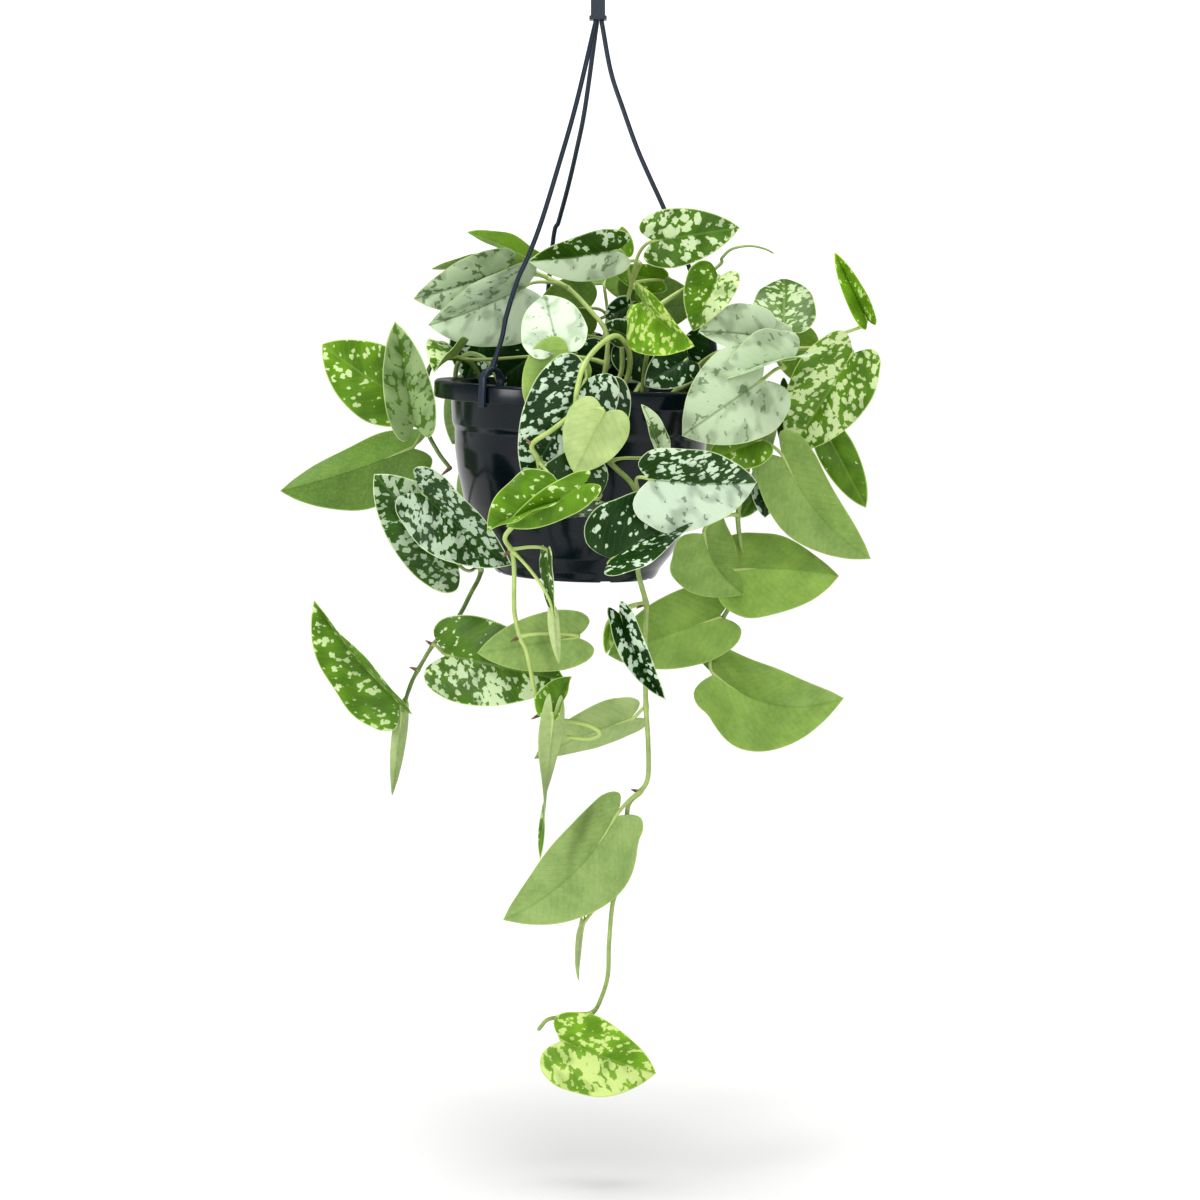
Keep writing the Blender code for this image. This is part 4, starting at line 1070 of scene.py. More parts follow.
@dataclass(frozen=True, kw_only=True)
class UpperFace(Living):
    """The satin upper face of a leaf: dark to bright green with silver flecks and a pale rim.

    A share says how much of its colour is laid over the one below. silver_level and dull_level give the
    leaf's silver and paleness between which the ground turns silver and the silver turns green. The ground
    is also tinted darker and lighter in patches by a coarse noise: painted shade and painted light.
    """

    name: str = "leaf_upper_face"
    roughness: float = 0.35
    fleck_roughness: float = 0.06
    gloss: float = 0.22
    sheen: float = 0.03
    depth_share: float = 0.12
    depth_colour: Colour = (0.6, 1.0, 0.25)
    dark: Colour = linear(24, 60, 12)
    bright: Colour = linear(114, 158, 38)
    silver_old: Colour = linear(202, 220, 198)
    silver_young: Colour = linear(206, 222, 140)
    rim_old: Colour = linear(196, 214, 172)
    rim_young: Colour = linear(178, 204, 88)
    vein_old: Colour = (0.07, 0.14, 0.05)
    vein_young: Colour = (0.30, 0.44, 0.08)
    midrib_old: Colour = (0.06, 0.13, 0.04)
    midrib_young: Colour = (0.28, 0.42, 0.07)
    # Tints of the painted shade and painted light that a coarse noise lays in patches over the ground
    painted_shade_tint: Colour = (0.72, 0.76, 0.72)
    painted_light_tint: Colour = (1.2, 1.18, 1.1)
    vein_share: float = 0.16
    midrib_share: float = 0.55
    rim_share: float = 0.85
    fleck_share: float = 0.88
    patch_share: float = 0.35
    dull_level: tuple[float, float] = (0.6, 1.0)
    dull_share: float = 0.6
    silver_level: tuple[float, float] = (0.5, 0.9)
    silver_share: float = 0.5

    def plain(self) -> dict[str, object]:
        """Return what is the same all over, by the shader's socket names."""
        return {**super().plain(), "Sheen Weight": self.sheen}

    def patterned(self, w: Wiring, shared: SharedGroups) -> dict[str, object]:
        """Wire the pattern.

        Args:
            w: The material's wiring.
            shared: The node groups.

        Returns:
            What it feeds, by socket name.
        """
        blade = w.attribute("blade")
        seed = w.attribute("seed", "Fac")
        silver, tone, dull = w.split(w.attribute("marking"))
        veins = w.group(shared.veins, Blade=blade, Seed=seed)
        flecks = w.group(
            shared.flecks, Blade=blade, Off_Midrib=veins["Off Midrib"], Seed=seed, Silver=silver)
        fleck, patch = flecks["Fleck"], flecks["Patch"]
        ground = w.mix(tone, self.bright, self.dark)
        # Painted shade and painted light: the ground is tinted darker and lighter in patches by a coarse
        # noise
        ground = w.tinted(ground, w.mix(w.step(patch, 0.3, 0.7), self.painted_shade_tint, self.painted_light_tint))
        vein = w.mix(tone, self.vein_young, self.vein_old)
        ground = w.mix(w.times(veins["Vein"], self.vein_share), ground, vein)
        light = w.mix(tone, self.silver_young, self.silver_old)
        light = w.mix(w.times(w.step(patch, 0.55, 0.35), self.patch_share), light, ground)
        light = w.mix(w.times(w.step(dull, *self.dull_level), self.dull_share), light, ground)
        ground = w.mix(w.times(w.step(silver, *self.silver_level), self.silver_share), ground, light)
        colour = w.mix(w.times(fleck, self.fleck_share), ground, light)
        midrib = w.mix(tone, self.midrib_young, self.midrib_old)
        colour = w.mix(w.times(veins["Midrib"], self.midrib_share), colour, midrib)
        rim = w.mix(tone, self.rim_young, self.rim_old)
        colour = w.mix(w.times(veins["Rim"], self.rim_share), colour, rim)
        grain = w.group(shared.grain, Place=w.place(), Scale=900.0)
        height = w.plus(w.times(veins["Vein"], -0.6), w.times(fleck, 0.25))
        height = w.plus(height, w.times(grain["Blotch"], 0.5))
        return {
            "Base Color": colour,
            "Normal": w.bump(height, 0.45, 0.22 * MM),
            "Roughness": w.plus(w.times(fleck, self.fleck_roughness), self.roughness),
        }


@dataclass(frozen=True, kw_only=True)
class UnderFace(Living):
    """The plain lower face of a leaf: green to pale olive with a darker net and a raised midrib.

    Its ground is tinted in broad clouds of painted shade and painted light, and darkened as painted
    shade as the leaf's tone rises.
    """

    name: str = "leaf_under_face"
    roughness: float = 0.5
    gloss: float = 0.35
    depth_share: float = 0.15
    depth_colour: Colour = (0.7, 1.0, 0.3)
    green: Colour = linear(126, 166, 38)
    pale: Colour = linear(186, 202, 154)
    rim: Colour = (0.42, 0.54, 0.16)
    mottle: Colour = (0.60, 0.68, 0.38)
    # Tints of the painted shade and painted light that broad clouds of noise lay over the ground
    painted_shade_tint: Colour = (0.80, 0.85, 0.72)
    painted_light_tint: Colour = (1.12, 1.10, 1.06)
    # Tints of a lower face at tone 0 and at tone 1: the second is painted shade, which darkens the lower
    # face as the tone rises
    young_tint: Colour = (1.10, 1.08, 1.0)
    painted_shade_by_tone: Colour = (0.40, 0.46, 0.42)
    vein_tint: Colour = (0.66, 0.76, 0.55)
    mottle_share: float = 0.05
    vein_share: float = 0.24
    midrib_share: float = 0.5
    rim_share: float = 0.4

    def patterned(self, w: Wiring, shared: SharedGroups) -> dict[str, object]:
        """Wire the pattern.

        Args:
            w: The material's wiring.
            shared: The node groups.

        Returns:
            What it feeds, by socket name.
        """
        blade = w.attribute("blade")
        seed = w.attribute("seed", "Fac")
        _, tone, under = w.split(w.attribute("marking"))
        veins = w.group(shared.veins, Blade=blade, Seed=seed)
        x, y, _ = w.split(blade)
        place = w.join(x, y, seed)
        cloud = w.step(w.noise(place, 0.07, 3.0, 0.6), 0.3, 0.7)
        mottle = w.step(w.noise(place, 0.6), 0.45, 0.62)
        ground = w.mix(under, self.green, self.pale)
        # Painted shade and painted light in broad clouds over the lower face
        ground = w.tinted(ground, w.mix(cloud, self.painted_shade_tint, self.painted_light_tint))
        # Painted shade: the higher the leaf's tone, the darker its lower face
        ground = w.tinted(ground, w.mix(tone, self.young_tint, self.painted_shade_by_tone))
        ground = w.mix(w.times(mottle, self.mottle_share), ground, self.mottle)
        veined = w.tinted(ground, self.vein_tint)
        colour = w.mix(w.times(veins["Vein"], self.vein_share), ground, veined)
        colour = w.mix(w.times(veins["Midrib"], self.midrib_share), colour, veined)
        colour = w.mix(w.times(veins["Rim"], self.rim_share), colour, self.rim)
        grain = w.group(shared.grain, Place=w.place(), Scale=700.0)
        height = w.plus(w.times(veins["Vein"], 0.8), w.times(grain["Blotch"], 0.4))
        return {"Base Color": colour, "Normal": w.bump(height, 0.35, 0.2 * MM)}


@dataclass(frozen=True, kw_only=True)
class StemSkin(Living):
    """Stems and leaf stalks: pale yellow-green where young, darker green where old, with brown flecks."""

    name: str = "stem_skin"
    roughness: float = 0.45
    gloss: float = 0.5
    depth_share: float = 0.1
    depth_colour: Colour = (0.6, 1.0, 0.3)
    depth: float = 1.5 * MM
    pale: Colour = linear(176, 196, 118)
    old: Colour = linear(84, 110, 54)
    fleck: Colour = (0.16, 0.14, 0.05)
    fleck_share: float = 0.3
    blotchiness: float = 0.7

    def patterned(self, w: Wiring, shared: SharedGroups) -> dict[str, object]:
        """Wire the pattern.

        Args:
            w: The material's wiring.
            shared: The node groups.

        Returns:
            What it feeds, by socket name.
        """
        _, tone, _ = w.split(w.attribute("marking"))
        grain = w.group(shared.grain, Place=w.place(), Scale=120.0)
        mixed = w.plus(tone, w.times(w.less(grain["Blotch"], 0.5), self.blotchiness))
        colour = w.mix(w.step(mixed, 0.05, 0.95), self.pale, self.old)
        colour = w.mix(w.times(w.step(grain["Grain"], 0.55, 0.75), self.fleck_share), colour, self.fleck)
        return {"Base Color": colour, "Normal": w.bump(grain["Grain"], 0.3, 0.2 * MM)}


@dataclass(frozen=True, kw_only=True)
class Earthy(Finish):
    """A dry, uneven finish of two colours with specks: root nubs, peat and its crumbs."""

    low: Colour
    high: Colour
    scale: float
    depth: float
    roughness: float = 0.9
    speck: Colour = (0.35, 0.26, 0.16)
    speck_share: float = 0.6

    def patterned(self, w: Wiring, shared: SharedGroups) -> dict[str, object]:
        """Wire the pattern.

        Args:
            w: The material's wiring.
            shared: The node groups.

        Returns:
            What it feeds, by socket name.
        """
        grain = w.group(shared.grain, Place=w.place(), Scale=self.scale)
        colour = w.mix(w.step(grain["Blotch"], 0.3, 0.7), self.low, self.high)
        speck = w.mix(0.5, self.high, self.speck)
        colour = w.mix(w.times(grain["Dust"], self.speck_share), colour, speck)
        return {"Base Color": colour, "Normal": w.bump(grain["Grain"], 0.8, self.depth)}


@dataclass(frozen=True, kw_only=True)
class MouldedPlastic(Finish):
    """Glossy moulded plastic with a fine orange-peel surface, faint scuffs and a little dust.

    The scuffs are a noise drawn out round the pot: it is read at the angle and the height, with many more
    waves in the height.
    """

    colour: Colour
    worn: Colour
    dust: Colour = (0.20, 0.20, 0.19)
    gloss: float = 0.3
    coat: float = 0.1
    coat_roughness: float = 0.12
    turns: float = 3.0
    levels: float = 700.0
    blotch_share: float = 0.22
    scuff_share: float = 0.30
    dust_share: float = 0.08
    scuff_roughness: float = 0.18
    blotch_roughness: float = 0.10

    def plain(self) -> dict[str, object]:
        """Return what is the same all over, by the shader's socket names."""
        coat = {"Coat Weight": self.coat, "Coat Roughness": self.coat_roughness}
        return {"Specular IOR Level": self.gloss, **coat}

    def patterned(self, w: Wiring, shared: SharedGroups) -> dict[str, object]:
        """Wire the pattern.

        Args:
            w: The material's wiring.
            shared: The node groups.

        Returns:
            What it feeds, by socket name.
        """
        grain = w.group(shared.grain, Place=w.place(), Scale=38.0)
        blotch = grain["Blotch"]
        x, y, z = w.split(w.place())
        around = w.times(w.math("ARCTAN2", y, x), self.turns)
        scuffs = w.noise(w.join(around, w.times(z, self.levels), 2.0), 1.0, 3.0, 0.65)
        scuff = w.times(w.step(scuffs, 0.60, 0.74), w.step(blotch, 0.42, 0.62))
        colour = w.mix(w.times(blotch, self.blotch_share), self.colour, self.worn)
        colour = w.mix(w.times(scuff, self.scuff_share), colour, self.worn)
        colour = w.mix(w.times(grain["Dust"], self.dust_share), colour, self.dust)
        uneven = w.plus(w.times(scuff, self.scuff_roughness), w.times(blotch, self.blotch_roughness))
        return {
            "Base Color": colour,
            "Roughness": w.plus(uneven, self.roughness),
            "Normal": w.bump(grain["Grain"], 0.12, 0.15 * MM),
        }


UPPER, UNDER, SKIN, ROOT = range(4)


@dataclass(frozen=True)
class Stance:
    """How a leaf stands: its base, length, directions along, across and up, and its sideways bow."""

    base: np.ndarray
    length: float
    along: np.ndarray
    across: np.ndarray
    up: np.ndarray
    bow: np.ndarray


@dataclass(frozen=True)
class BladeMesh:
    """The fine grid of one leaf, from its notch to its tip.

    ribs are the rows from notch to tip and lanes the columns on each half. quilting and ridge are the
    heights of the swellings between side veins and of the midrib, and waver is how far the margin strays.
    Lengths that end in _mm are in millimetres, like a leaf's width.
    """

    ribs: int = 38
    lanes: int = 13
    outline_steps: int = 12
    thickness: float = 0.62 * MM
    quilting: float = 0.16 * MM
    ridge: float = 0.34 * MM
    ridge_width_mm: float = 0.8
    upper_groove: float = 0.6
    waver: float = 0.35 * MM
    waver_size_mm: float = 9.0
    droop: float = 0.10
    wave: float = 0.07
    nudge: float = 0.004

    def margin(self) -> tuple[np.ndarray, np.ndarray]:
        """Return the outline of half a leaf at even steps, across and along.

        A smooth curve runs through the outline's points. Its length, with across counted at 0.4, is
        divided evenly.

        Returns:
            Across and along, from the notch to the tip.
        """
        path = smooth_path(np.array(HALF_OUTLINE), self.outline_steps)
        path[:, 0] = np.maximum(path[:, 0], 0.0)
        steps = np.hypot(np.diff(path[:, 0]) * 0.4, np.diff(path[:, 1]))
        travelled = np.concatenate(([0.0], np.cumsum(steps)))
        wanted = np.linspace(0.0, travelled[-1], self.ribs + 1)
        return np.interp(wanted, travelled, path[:, 0]), np.interp(wanted, travelled, path[:, 1])

    def stance(self, leaf: Leaf) -> Stance:
        """Return how a leaf stands.

        Along runs from base to tip. Facing is the way to the eye made square to it, and up is facing
        turned by the roll about along.

        Args:
            leaf: The leaf.

        Returns:
            Its stance.
        """
        base, tip = seen(np.array([leaf.base, leaf.tip]))
        length = float(np.linalg.norm(tip - base))
        along = (tip - base) / length
        sight = EYE * MM - base
        facing = unit(sight - along * (sight @ along))
        side = np.cross(along, facing)
        roll = math.radians(leaf.roll)
        up = facing * math.cos(roll) + side * math.sin(roll)
        return Stance(base, length, along, np.cross(along, up), up, side * length * leaf.sweep)

    def place(self, leaf: Leaf, across: np.ndarray, along: np.ndarray) -> np.ndarray:
        """Return where outline coordinates lie on a leaf's bent blade.

        The lobes beside the notch are drawn in by the leaf's lobe share, within half a length of it. Each
        half is lifted by the fold and falls off as the square of the distance across, with a slow wave
        along its margin. The whole is turned by the twist, bowed upwards as along times one less along,
        dipped at its tip by the hook and bowed sideways by the sweep.

        Args:
            leaf: The leaf.
            across: Distances from the midrib in half widths, signed.
            along: Distances from the base in lengths.

        Returns:
            Array of points.
        """
        stance = self.stance(leaf)
        length = stance.length
        half = leaf.width * MM / 2
        near_notch = np.clip(1 - along / LOBE_REACH, 0, 1) ** 2
        across = across * (1 - (1 - leaf.lobe) * near_notch)
        along = np.where(along < 0, along * leaf.lobe, along)
        fold = math.radians(leaf.fold)
        sideways = across * half * math.cos(fold)
        rise = np.abs(across) * half * math.sin(fold) - self.droop * half * across ** 2
        rise = rise + self.wave * half * np.sin(9.0 * along + leaf.width) * across ** 2
        turn = math.radians(leaf.twist) * along
        turned = sideways * np.cos(turn) - rise * np.sin(turn)
        lifted = sideways * np.sin(turn) + rise * np.cos(turn)
        beyond = np.clip(along, 0, None)
        lifted = lifted + leaf.arch * 4 * length * beyond * (1 - beyond)
        lifted = lifted - leaf.hook * length * np.clip((along - 0.5) * 2, 0, None) ** 2
        place = (along * length)[..., None] * stance.along
        place = place + turned[..., None] * stance.across + lifted[..., None] * stance.up
        return place + (4 * beyond * (1 - beyond))[..., None] * stance.bow + stance.base

    def grid(self) -> tuple[np.ndarray, np.ndarray, np.ndarray]:
        """Return the outline coordinates of the rows between notch and tip.

        A row starts on the midrib, at the row's share of the length to the power 1.6, and runs straight
        to its point of the margin on either side.

        Returns:
            Across, along, and the share towards the margin, from -1 to 1.
        """
        margin_x, margin_y = self.margin()
        spine_y = np.linspace(0, 1, self.ribs + 1) ** 1.6
        share = np.linspace(-1, 1, 2 * self.lanes + 1)[None, :]
        near = np.abs(share)
        across = np.sign(share) * near * margin_x[1:-1, None]
        along = spine_y[1:-1, None] + (margin_y - spine_y)[1:-1, None] * near
        return across, along, np.broadcast_to(share, across.shape)

    def normals(self, leaf: Leaf, across: np.ndarray, along: np.ndarray) -> np.ndarray:
        """Return a blade's normals, from points a nudge ahead of, behind and beside each place.

        Args:
            leaf: The leaf.
            across: Distances from the midrib in half widths, signed.
            along: Distances from the base in lengths.

        Returns:
            Array of directions of length one.
        """
        nudge = self.nudge
        ahead = self.place(leaf, across, along + nudge) - self.place(leaf, across, along - nudge)
        aside = self.place(leaf, across + nudge, along) - self.place(leaf, across - nudge, along)
        return unit(np.cross(aside, ahead))

    def faces(self, rows: int, columns: int) -> tuple[np.ndarray, np.ndarray]:
        """Return the faces of a grid whose first and last row run to the notch and the tip.

        Args:
            rows: Number of rows.
            columns: Points in a row.

        Returns:
            The grid's faces, and the triangles round the notch and the tip, the two points after it.
        """
        count = rows * columns
        step = np.arange(columns - 1)
        last = count - columns + step
        tips = [fan(count, step + 1, step), fan(count + 1, last, last + 1)]
        return grid_quads(rows, columns), np.vstack(tips)

    def tones(self, marking: Marking, share: np.ndarray) -> np.ndarray:
        """Return each point's silver, tone and underside paleness.

        Silver is each half's own, and their mean on the midrib.

        Args:
            marking: The leaf's colours.
            share: The share towards the margin, signed, of each grid point.

        Returns:
            One row for each grid point, the notch and the tip.
        """
        silver = np.where(share < 0, marking.silver_minus, marking.silver_plus)
        silver = np.where(np.abs(share) < 0.01, (marking.silver_minus + marking.silver_plus) / 2, silver)
        tone, under = np.full_like(silver, marking.tone), np.full_like(silver, marking.under)
        tones = np.stack([silver, tone, under], axis=-1).reshape(-1, 3)
        return np.vstack([tones, tones[:1], tones[-1:]])

    def build(self, leaf: Leaf, marking: Marking, seed: float) -> list[Sheet]:
        """Build a leaf's upper and lower sheets, which share their margin.

        A point is moved off the middle surface along its normal by half the thickness, which falls to
        nothing at the margin. The middle surface strays by noise towards the margin and swells between
        side veins as the sine of their flow. The midrib is a bell across: a groove in the upper sheet and
        a ridge on the lower one.

        Args:
            leaf: The leaf.
            marking: Its colours.
            seed: A number that makes its pattern its own.

        Returns:
            The two sheets.
        """
        across, along, share = self.grid()
        near = np.abs(share)
        normal = self.normals(leaf, across, along)
        length = np.linalg.norm(np.array(leaf.tip) - np.array(leaf.base))
        x, y = across * (leaf.width / 2), along * length
        rim = (1 - near) * np.hypot(x[:, -1:], (y[:, -1:] - y[:, self.lanes:self.lanes + 1]))
        flow = (y - VEIN_SLOPE * np.abs(x) - VEIN_BEND * x ** 2) / VEIN_SPACING
        swell = np.abs(np.sin(math.pi * flow)) * (1 - near ** 3) * np.clip(np.abs(x) / 4, 0, 1)
        noise = rough(np.stack([x, y, np.full_like(x, seed * 13.7)], axis=-1), self.waver_size_mm, 5)
        lift = self.waver * noise * near + self.quilting * swell
        groove = self.ridge * np.exp(-(x / self.ridge_width_mm) ** 2) * np.clip(1.1 - along, 0, 1)
        body = self.thickness / 2 * np.sqrt(1 - near ** 6)
        middle = self.place(leaf, across, along) + normal * lift[..., None]
        upper = middle + normal * (body - groove * self.upper_groove)[..., None]
        lower = middle - normal * (body + groove)[..., None]
        ends = self.place(leaf, np.zeros(2), np.array([0.0, 1.0]))
        blade = np.vstack([np.stack([x, y, rim], axis=-1).reshape(-1, 3), [0, 0, 0], [0, length, 0]])
        tones = self.tones(marking, share)
        quads, triangles = self.faces(*across.shape)
        sheets = []
        for points, finish, order in ((upper, UPPER, 1), (lower, UNDER, -1)):
            points[:, [0, -1]] = middle[:, [0, -1]]
            points = np.vstack([points.reshape(-1, 3), ends])
            faces = quads[:, ::order], triangles[:, ::order]
            sheets.append(Sheet(points, *faces, finish, blade, tones, seed))
        return sheets


@dataclass
class LeafyStem:
    """One leafy stem: stem, stalks, blades, root nubs and shoots in one piece.

    A swelling is how much of the radius is added, over a reach along the stem or stalk.
    """

    name: str
    vine: Vine
    markings: tuple[Marking, ...]
    stalk_tone: float
    blade: BladeMesh = field(default_factory=BladeMesh)
    buried: float = 5.0 * MM
    clear: float = 2.0 * MM
    stem_steps: int = 7
    stem_sides: int = 12
    joint_swelling: float = 0.28
    joint_reach: float = 1.6 * MM
    stalk_steps: int = 16
    stalk_sides: int = 10
    stalk_slimness: float = 0.92
    sheath_swelling: float = 0.55
    sheath_reach: float = 0.10
    knee_swelling: float = 0.10
    knee_reach: float = 0.06
    tail_places: tuple[float, ...] = (0.05, 0.12, 0.22)
    tail_sizes: tuple[float, ...] = (0.8, 0.5, 0.15)
    tail_depth: float = 0.45 * MM
    nub_radii: tuple[float, float] = (1.15 * MM, 0.32 * MM)
    nub_fall: float = 1.0 * MM
    nub_guide: Place = (0.3, -1.0, 0.2)
    shoot_radii: tuple[float, float] = (1.0 * MM, 0.42 * MM)
    shoot_tone: float = 0.5
    thin_sides: int = 8

    def joints(self) -> np.ndarray:
        """Return the stem's joints."""
        return seen(np.array(self.vine.stem))

    def entry(self) -> np.ndarray:
        """Return where the stem leaves the soil.

        The soil's surface leans with the pot: its height falls by the lean's tangent for each unit to
        the right of the pot's centre.

        Returns:
            The point.
        """
        flat = in_pot_frame(np.array([0.0, 0.0, -SOIL_DROP]))
        x, y = POT_CENTRE[:2] + np.array(self.vine.root) * MM
        return np.array([x, y, flat[2] - (x - flat[0]) * math.tan(POT_TILT)])

    def stem_sheet(self) -> Sheet:
        """Build the stem, a little swollen at each joint that bears a leaf.

        The radius falls evenly from root to tip and is raised at a joint by a bell.

        Returns:
            The stem.
        """
        entry, joints = self.entry(), self.joints()
        above = smooth_path(np.vstack([entry + np.array([0, 0, self.clear]), joints]), self.stem_steps)
        path = np.vstack([entry - np.array([0, 0, self.buried]), above])
        radii = np.linspace(STEM_RADIUS, STEM_TIP_RADIUS, len(path))
        borne = sorted({leaf.joint for leaf in self.vine.leaves if leaf.joint is not None})
        away = np.linalg.norm(path[:, None] - joints[borne][None], axis=-1).min(axis=1)
        radii = radii * (1 + self.joint_swelling * np.exp(-(away / self.joint_reach) ** 2))
        return tube(path, radii, self.stem_sides, SKIN, self.stalk_tone)

    def stalk_sheet(self, leaf: Leaf, marking: Marking) -> Sheet:
        """Build the stalk that carries a leaf and runs on a little way under its midrib.

        It is a cubic that leaves the joint upwards and meets the blade's base from behind and below. Its
        radius is widest at the joint, where the stalk sheathes the stem, and tapers under the blade.

        Args:
            leaf: The leaf.
            marking: Its colours.

        Returns:
            The stalk.
        """
        stance = self.blade.stance(leaf)
        start, base = self.joints()[leaf.joint], stance.base
        reach = np.linalg.norm(base - start)
        leave = start + (base - start) * 0.3 + np.array([0, 0, 0.12 * reach])
        arrive = base - stance.along * 0.28 * reach - stance.up * 0.18 * reach
        share = np.linspace(0, 1, self.stalk_steps)
        t = share[:, None]
        path = start * (1 - t) ** 3 + leave * 3 * t * (1 - t) ** 2
        path = path + arrive * 3 * t ** 2 * (1 - t) + base * t ** 3
        tail = self.blade.place(leaf, np.zeros(len(self.tail_places)), np.array(self.tail_places))
        path = np.vstack([path, tail - stance.up * self.tail_depth])
        sheath = self.sheath_swelling * np.exp(-(share / self.sheath_reach) ** 2)
        knee = self.knee_swelling * np.exp(-((share - 1) / self.knee_reach) ** 2)
        radii = STALK_RADIUS * np.concatenate([self.stalk_slimness + sheath + knee, self.tail_sizes])
        return tube(path, radii, self.stalk_sides, SKIN, 0.35 * self.stalk_tone + 0.25 * marking.tone)

    def nub_sheet(self, joint: int) -> Sheet:
        """Build a small brown aerial root at a joint, tapering to a blunt end.

        Args:
            joint: Number of the joint.

        Returns:
            The root nub.
        """
        joints = self.joints()
        point = joints[joint]
        along = unit(point - joints[joint - 1])
        out = unit(np.cross(along, np.array(self.nub_guide)))
        tip = point + out * (STEM_RADIUS + NUB_LENGTH) - np.array([0, 0, self.nub_fall])
        path = smooth_path(np.vstack([point, point + (tip - point) * 0.6, tip]), 3)
        return tube(path, np.linspace(*self.nub_radii, len(path)), self.thin_sides, ROOT)

    def shoot_sheet(self, shoot: tuple) -> Sheet:
        """Build a thin shoot.

        Args:
            shoot: Number of the joint that it leaves, then its places.

        Returns:
            The shoot.
        """
        start, *places = shoot
        path = smooth_path(np.vstack([self.joints()[start], seen(np.array(places))]), 5)
        radii = np.linspace(*self.shoot_radii, len(path))
        return tube(path, radii, self.thin_sides, SKIN, self.shoot_tone)

    def build(self, finishes: list[Material]) -> Object:
        """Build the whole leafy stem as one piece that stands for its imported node.

        Args:
            finishes: The materials of upper faces, lower faces, stems and root nubs.

        Returns:
            The piece.
        """
        sheets = [self.stem_sheet()]
        offset = sum(ord(letter) for letter in self.name)
        for number, (leaf, marking) in enumerate(zip(self.vine.leaves, self.markings, strict=True)):
            sheets += self.blade.build(leaf, marking, (offset * 1.7 + number * 5.3) % 97)
            if leaf.joint is not None:
                sheets.append(self.stalk_sheet(leaf, marking))
        sheets += [self.nub_sheet(joint) for joint in self.vine.nubs]
        sheets += [self.shoot_sheet(shoot) for shoot in self.vine.shoots]
        made = make_piece(self.name + "_foliage", sheets, finishes)
        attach(made, BODY)
        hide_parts(self.name)
        return made


def rounded(profile: list[tuple[float, float]], reach: float, steps: int = 4) -> np.ndarray:
    """Round the corners of an open profile.

    Each corner is replaced by points of the quadratic curve that starts and ends a reach away from it,
    or 0.45 of the shorter side where that is less.

    Args:
        profile: Radius and height of each corner, in millimetres.
        reach: How far from a corner the rounding starts.
        steps: Stretches in each rounding.

    Returns:
        Array of points in metres.
    """
    corners = np.array(profile, float)
    middle = corners[1:-1]
    before = corners[:-2] - middle
    after = corners[2:] - middle
    shorter = np.minimum(np.linalg.norm(before, axis=1), np.linalg.norm(after, axis=1))
    taken = np.minimum(reach, shorter * 0.45)[:, None]
    start = middle + unit(before) * taken
    end = middle + unit(after) * taken
    t = np.linspace(0, 1, steps + 1)[None, :, None]
    arc = start[:, None] * (1 - t) ** 2 + middle[:, None] * 2 * t * (1 - t) + end[:, None] * t ** 2
    return np.vstack([corners[:1], arc.reshape(-1, 2), corners[-1:]]) * MM


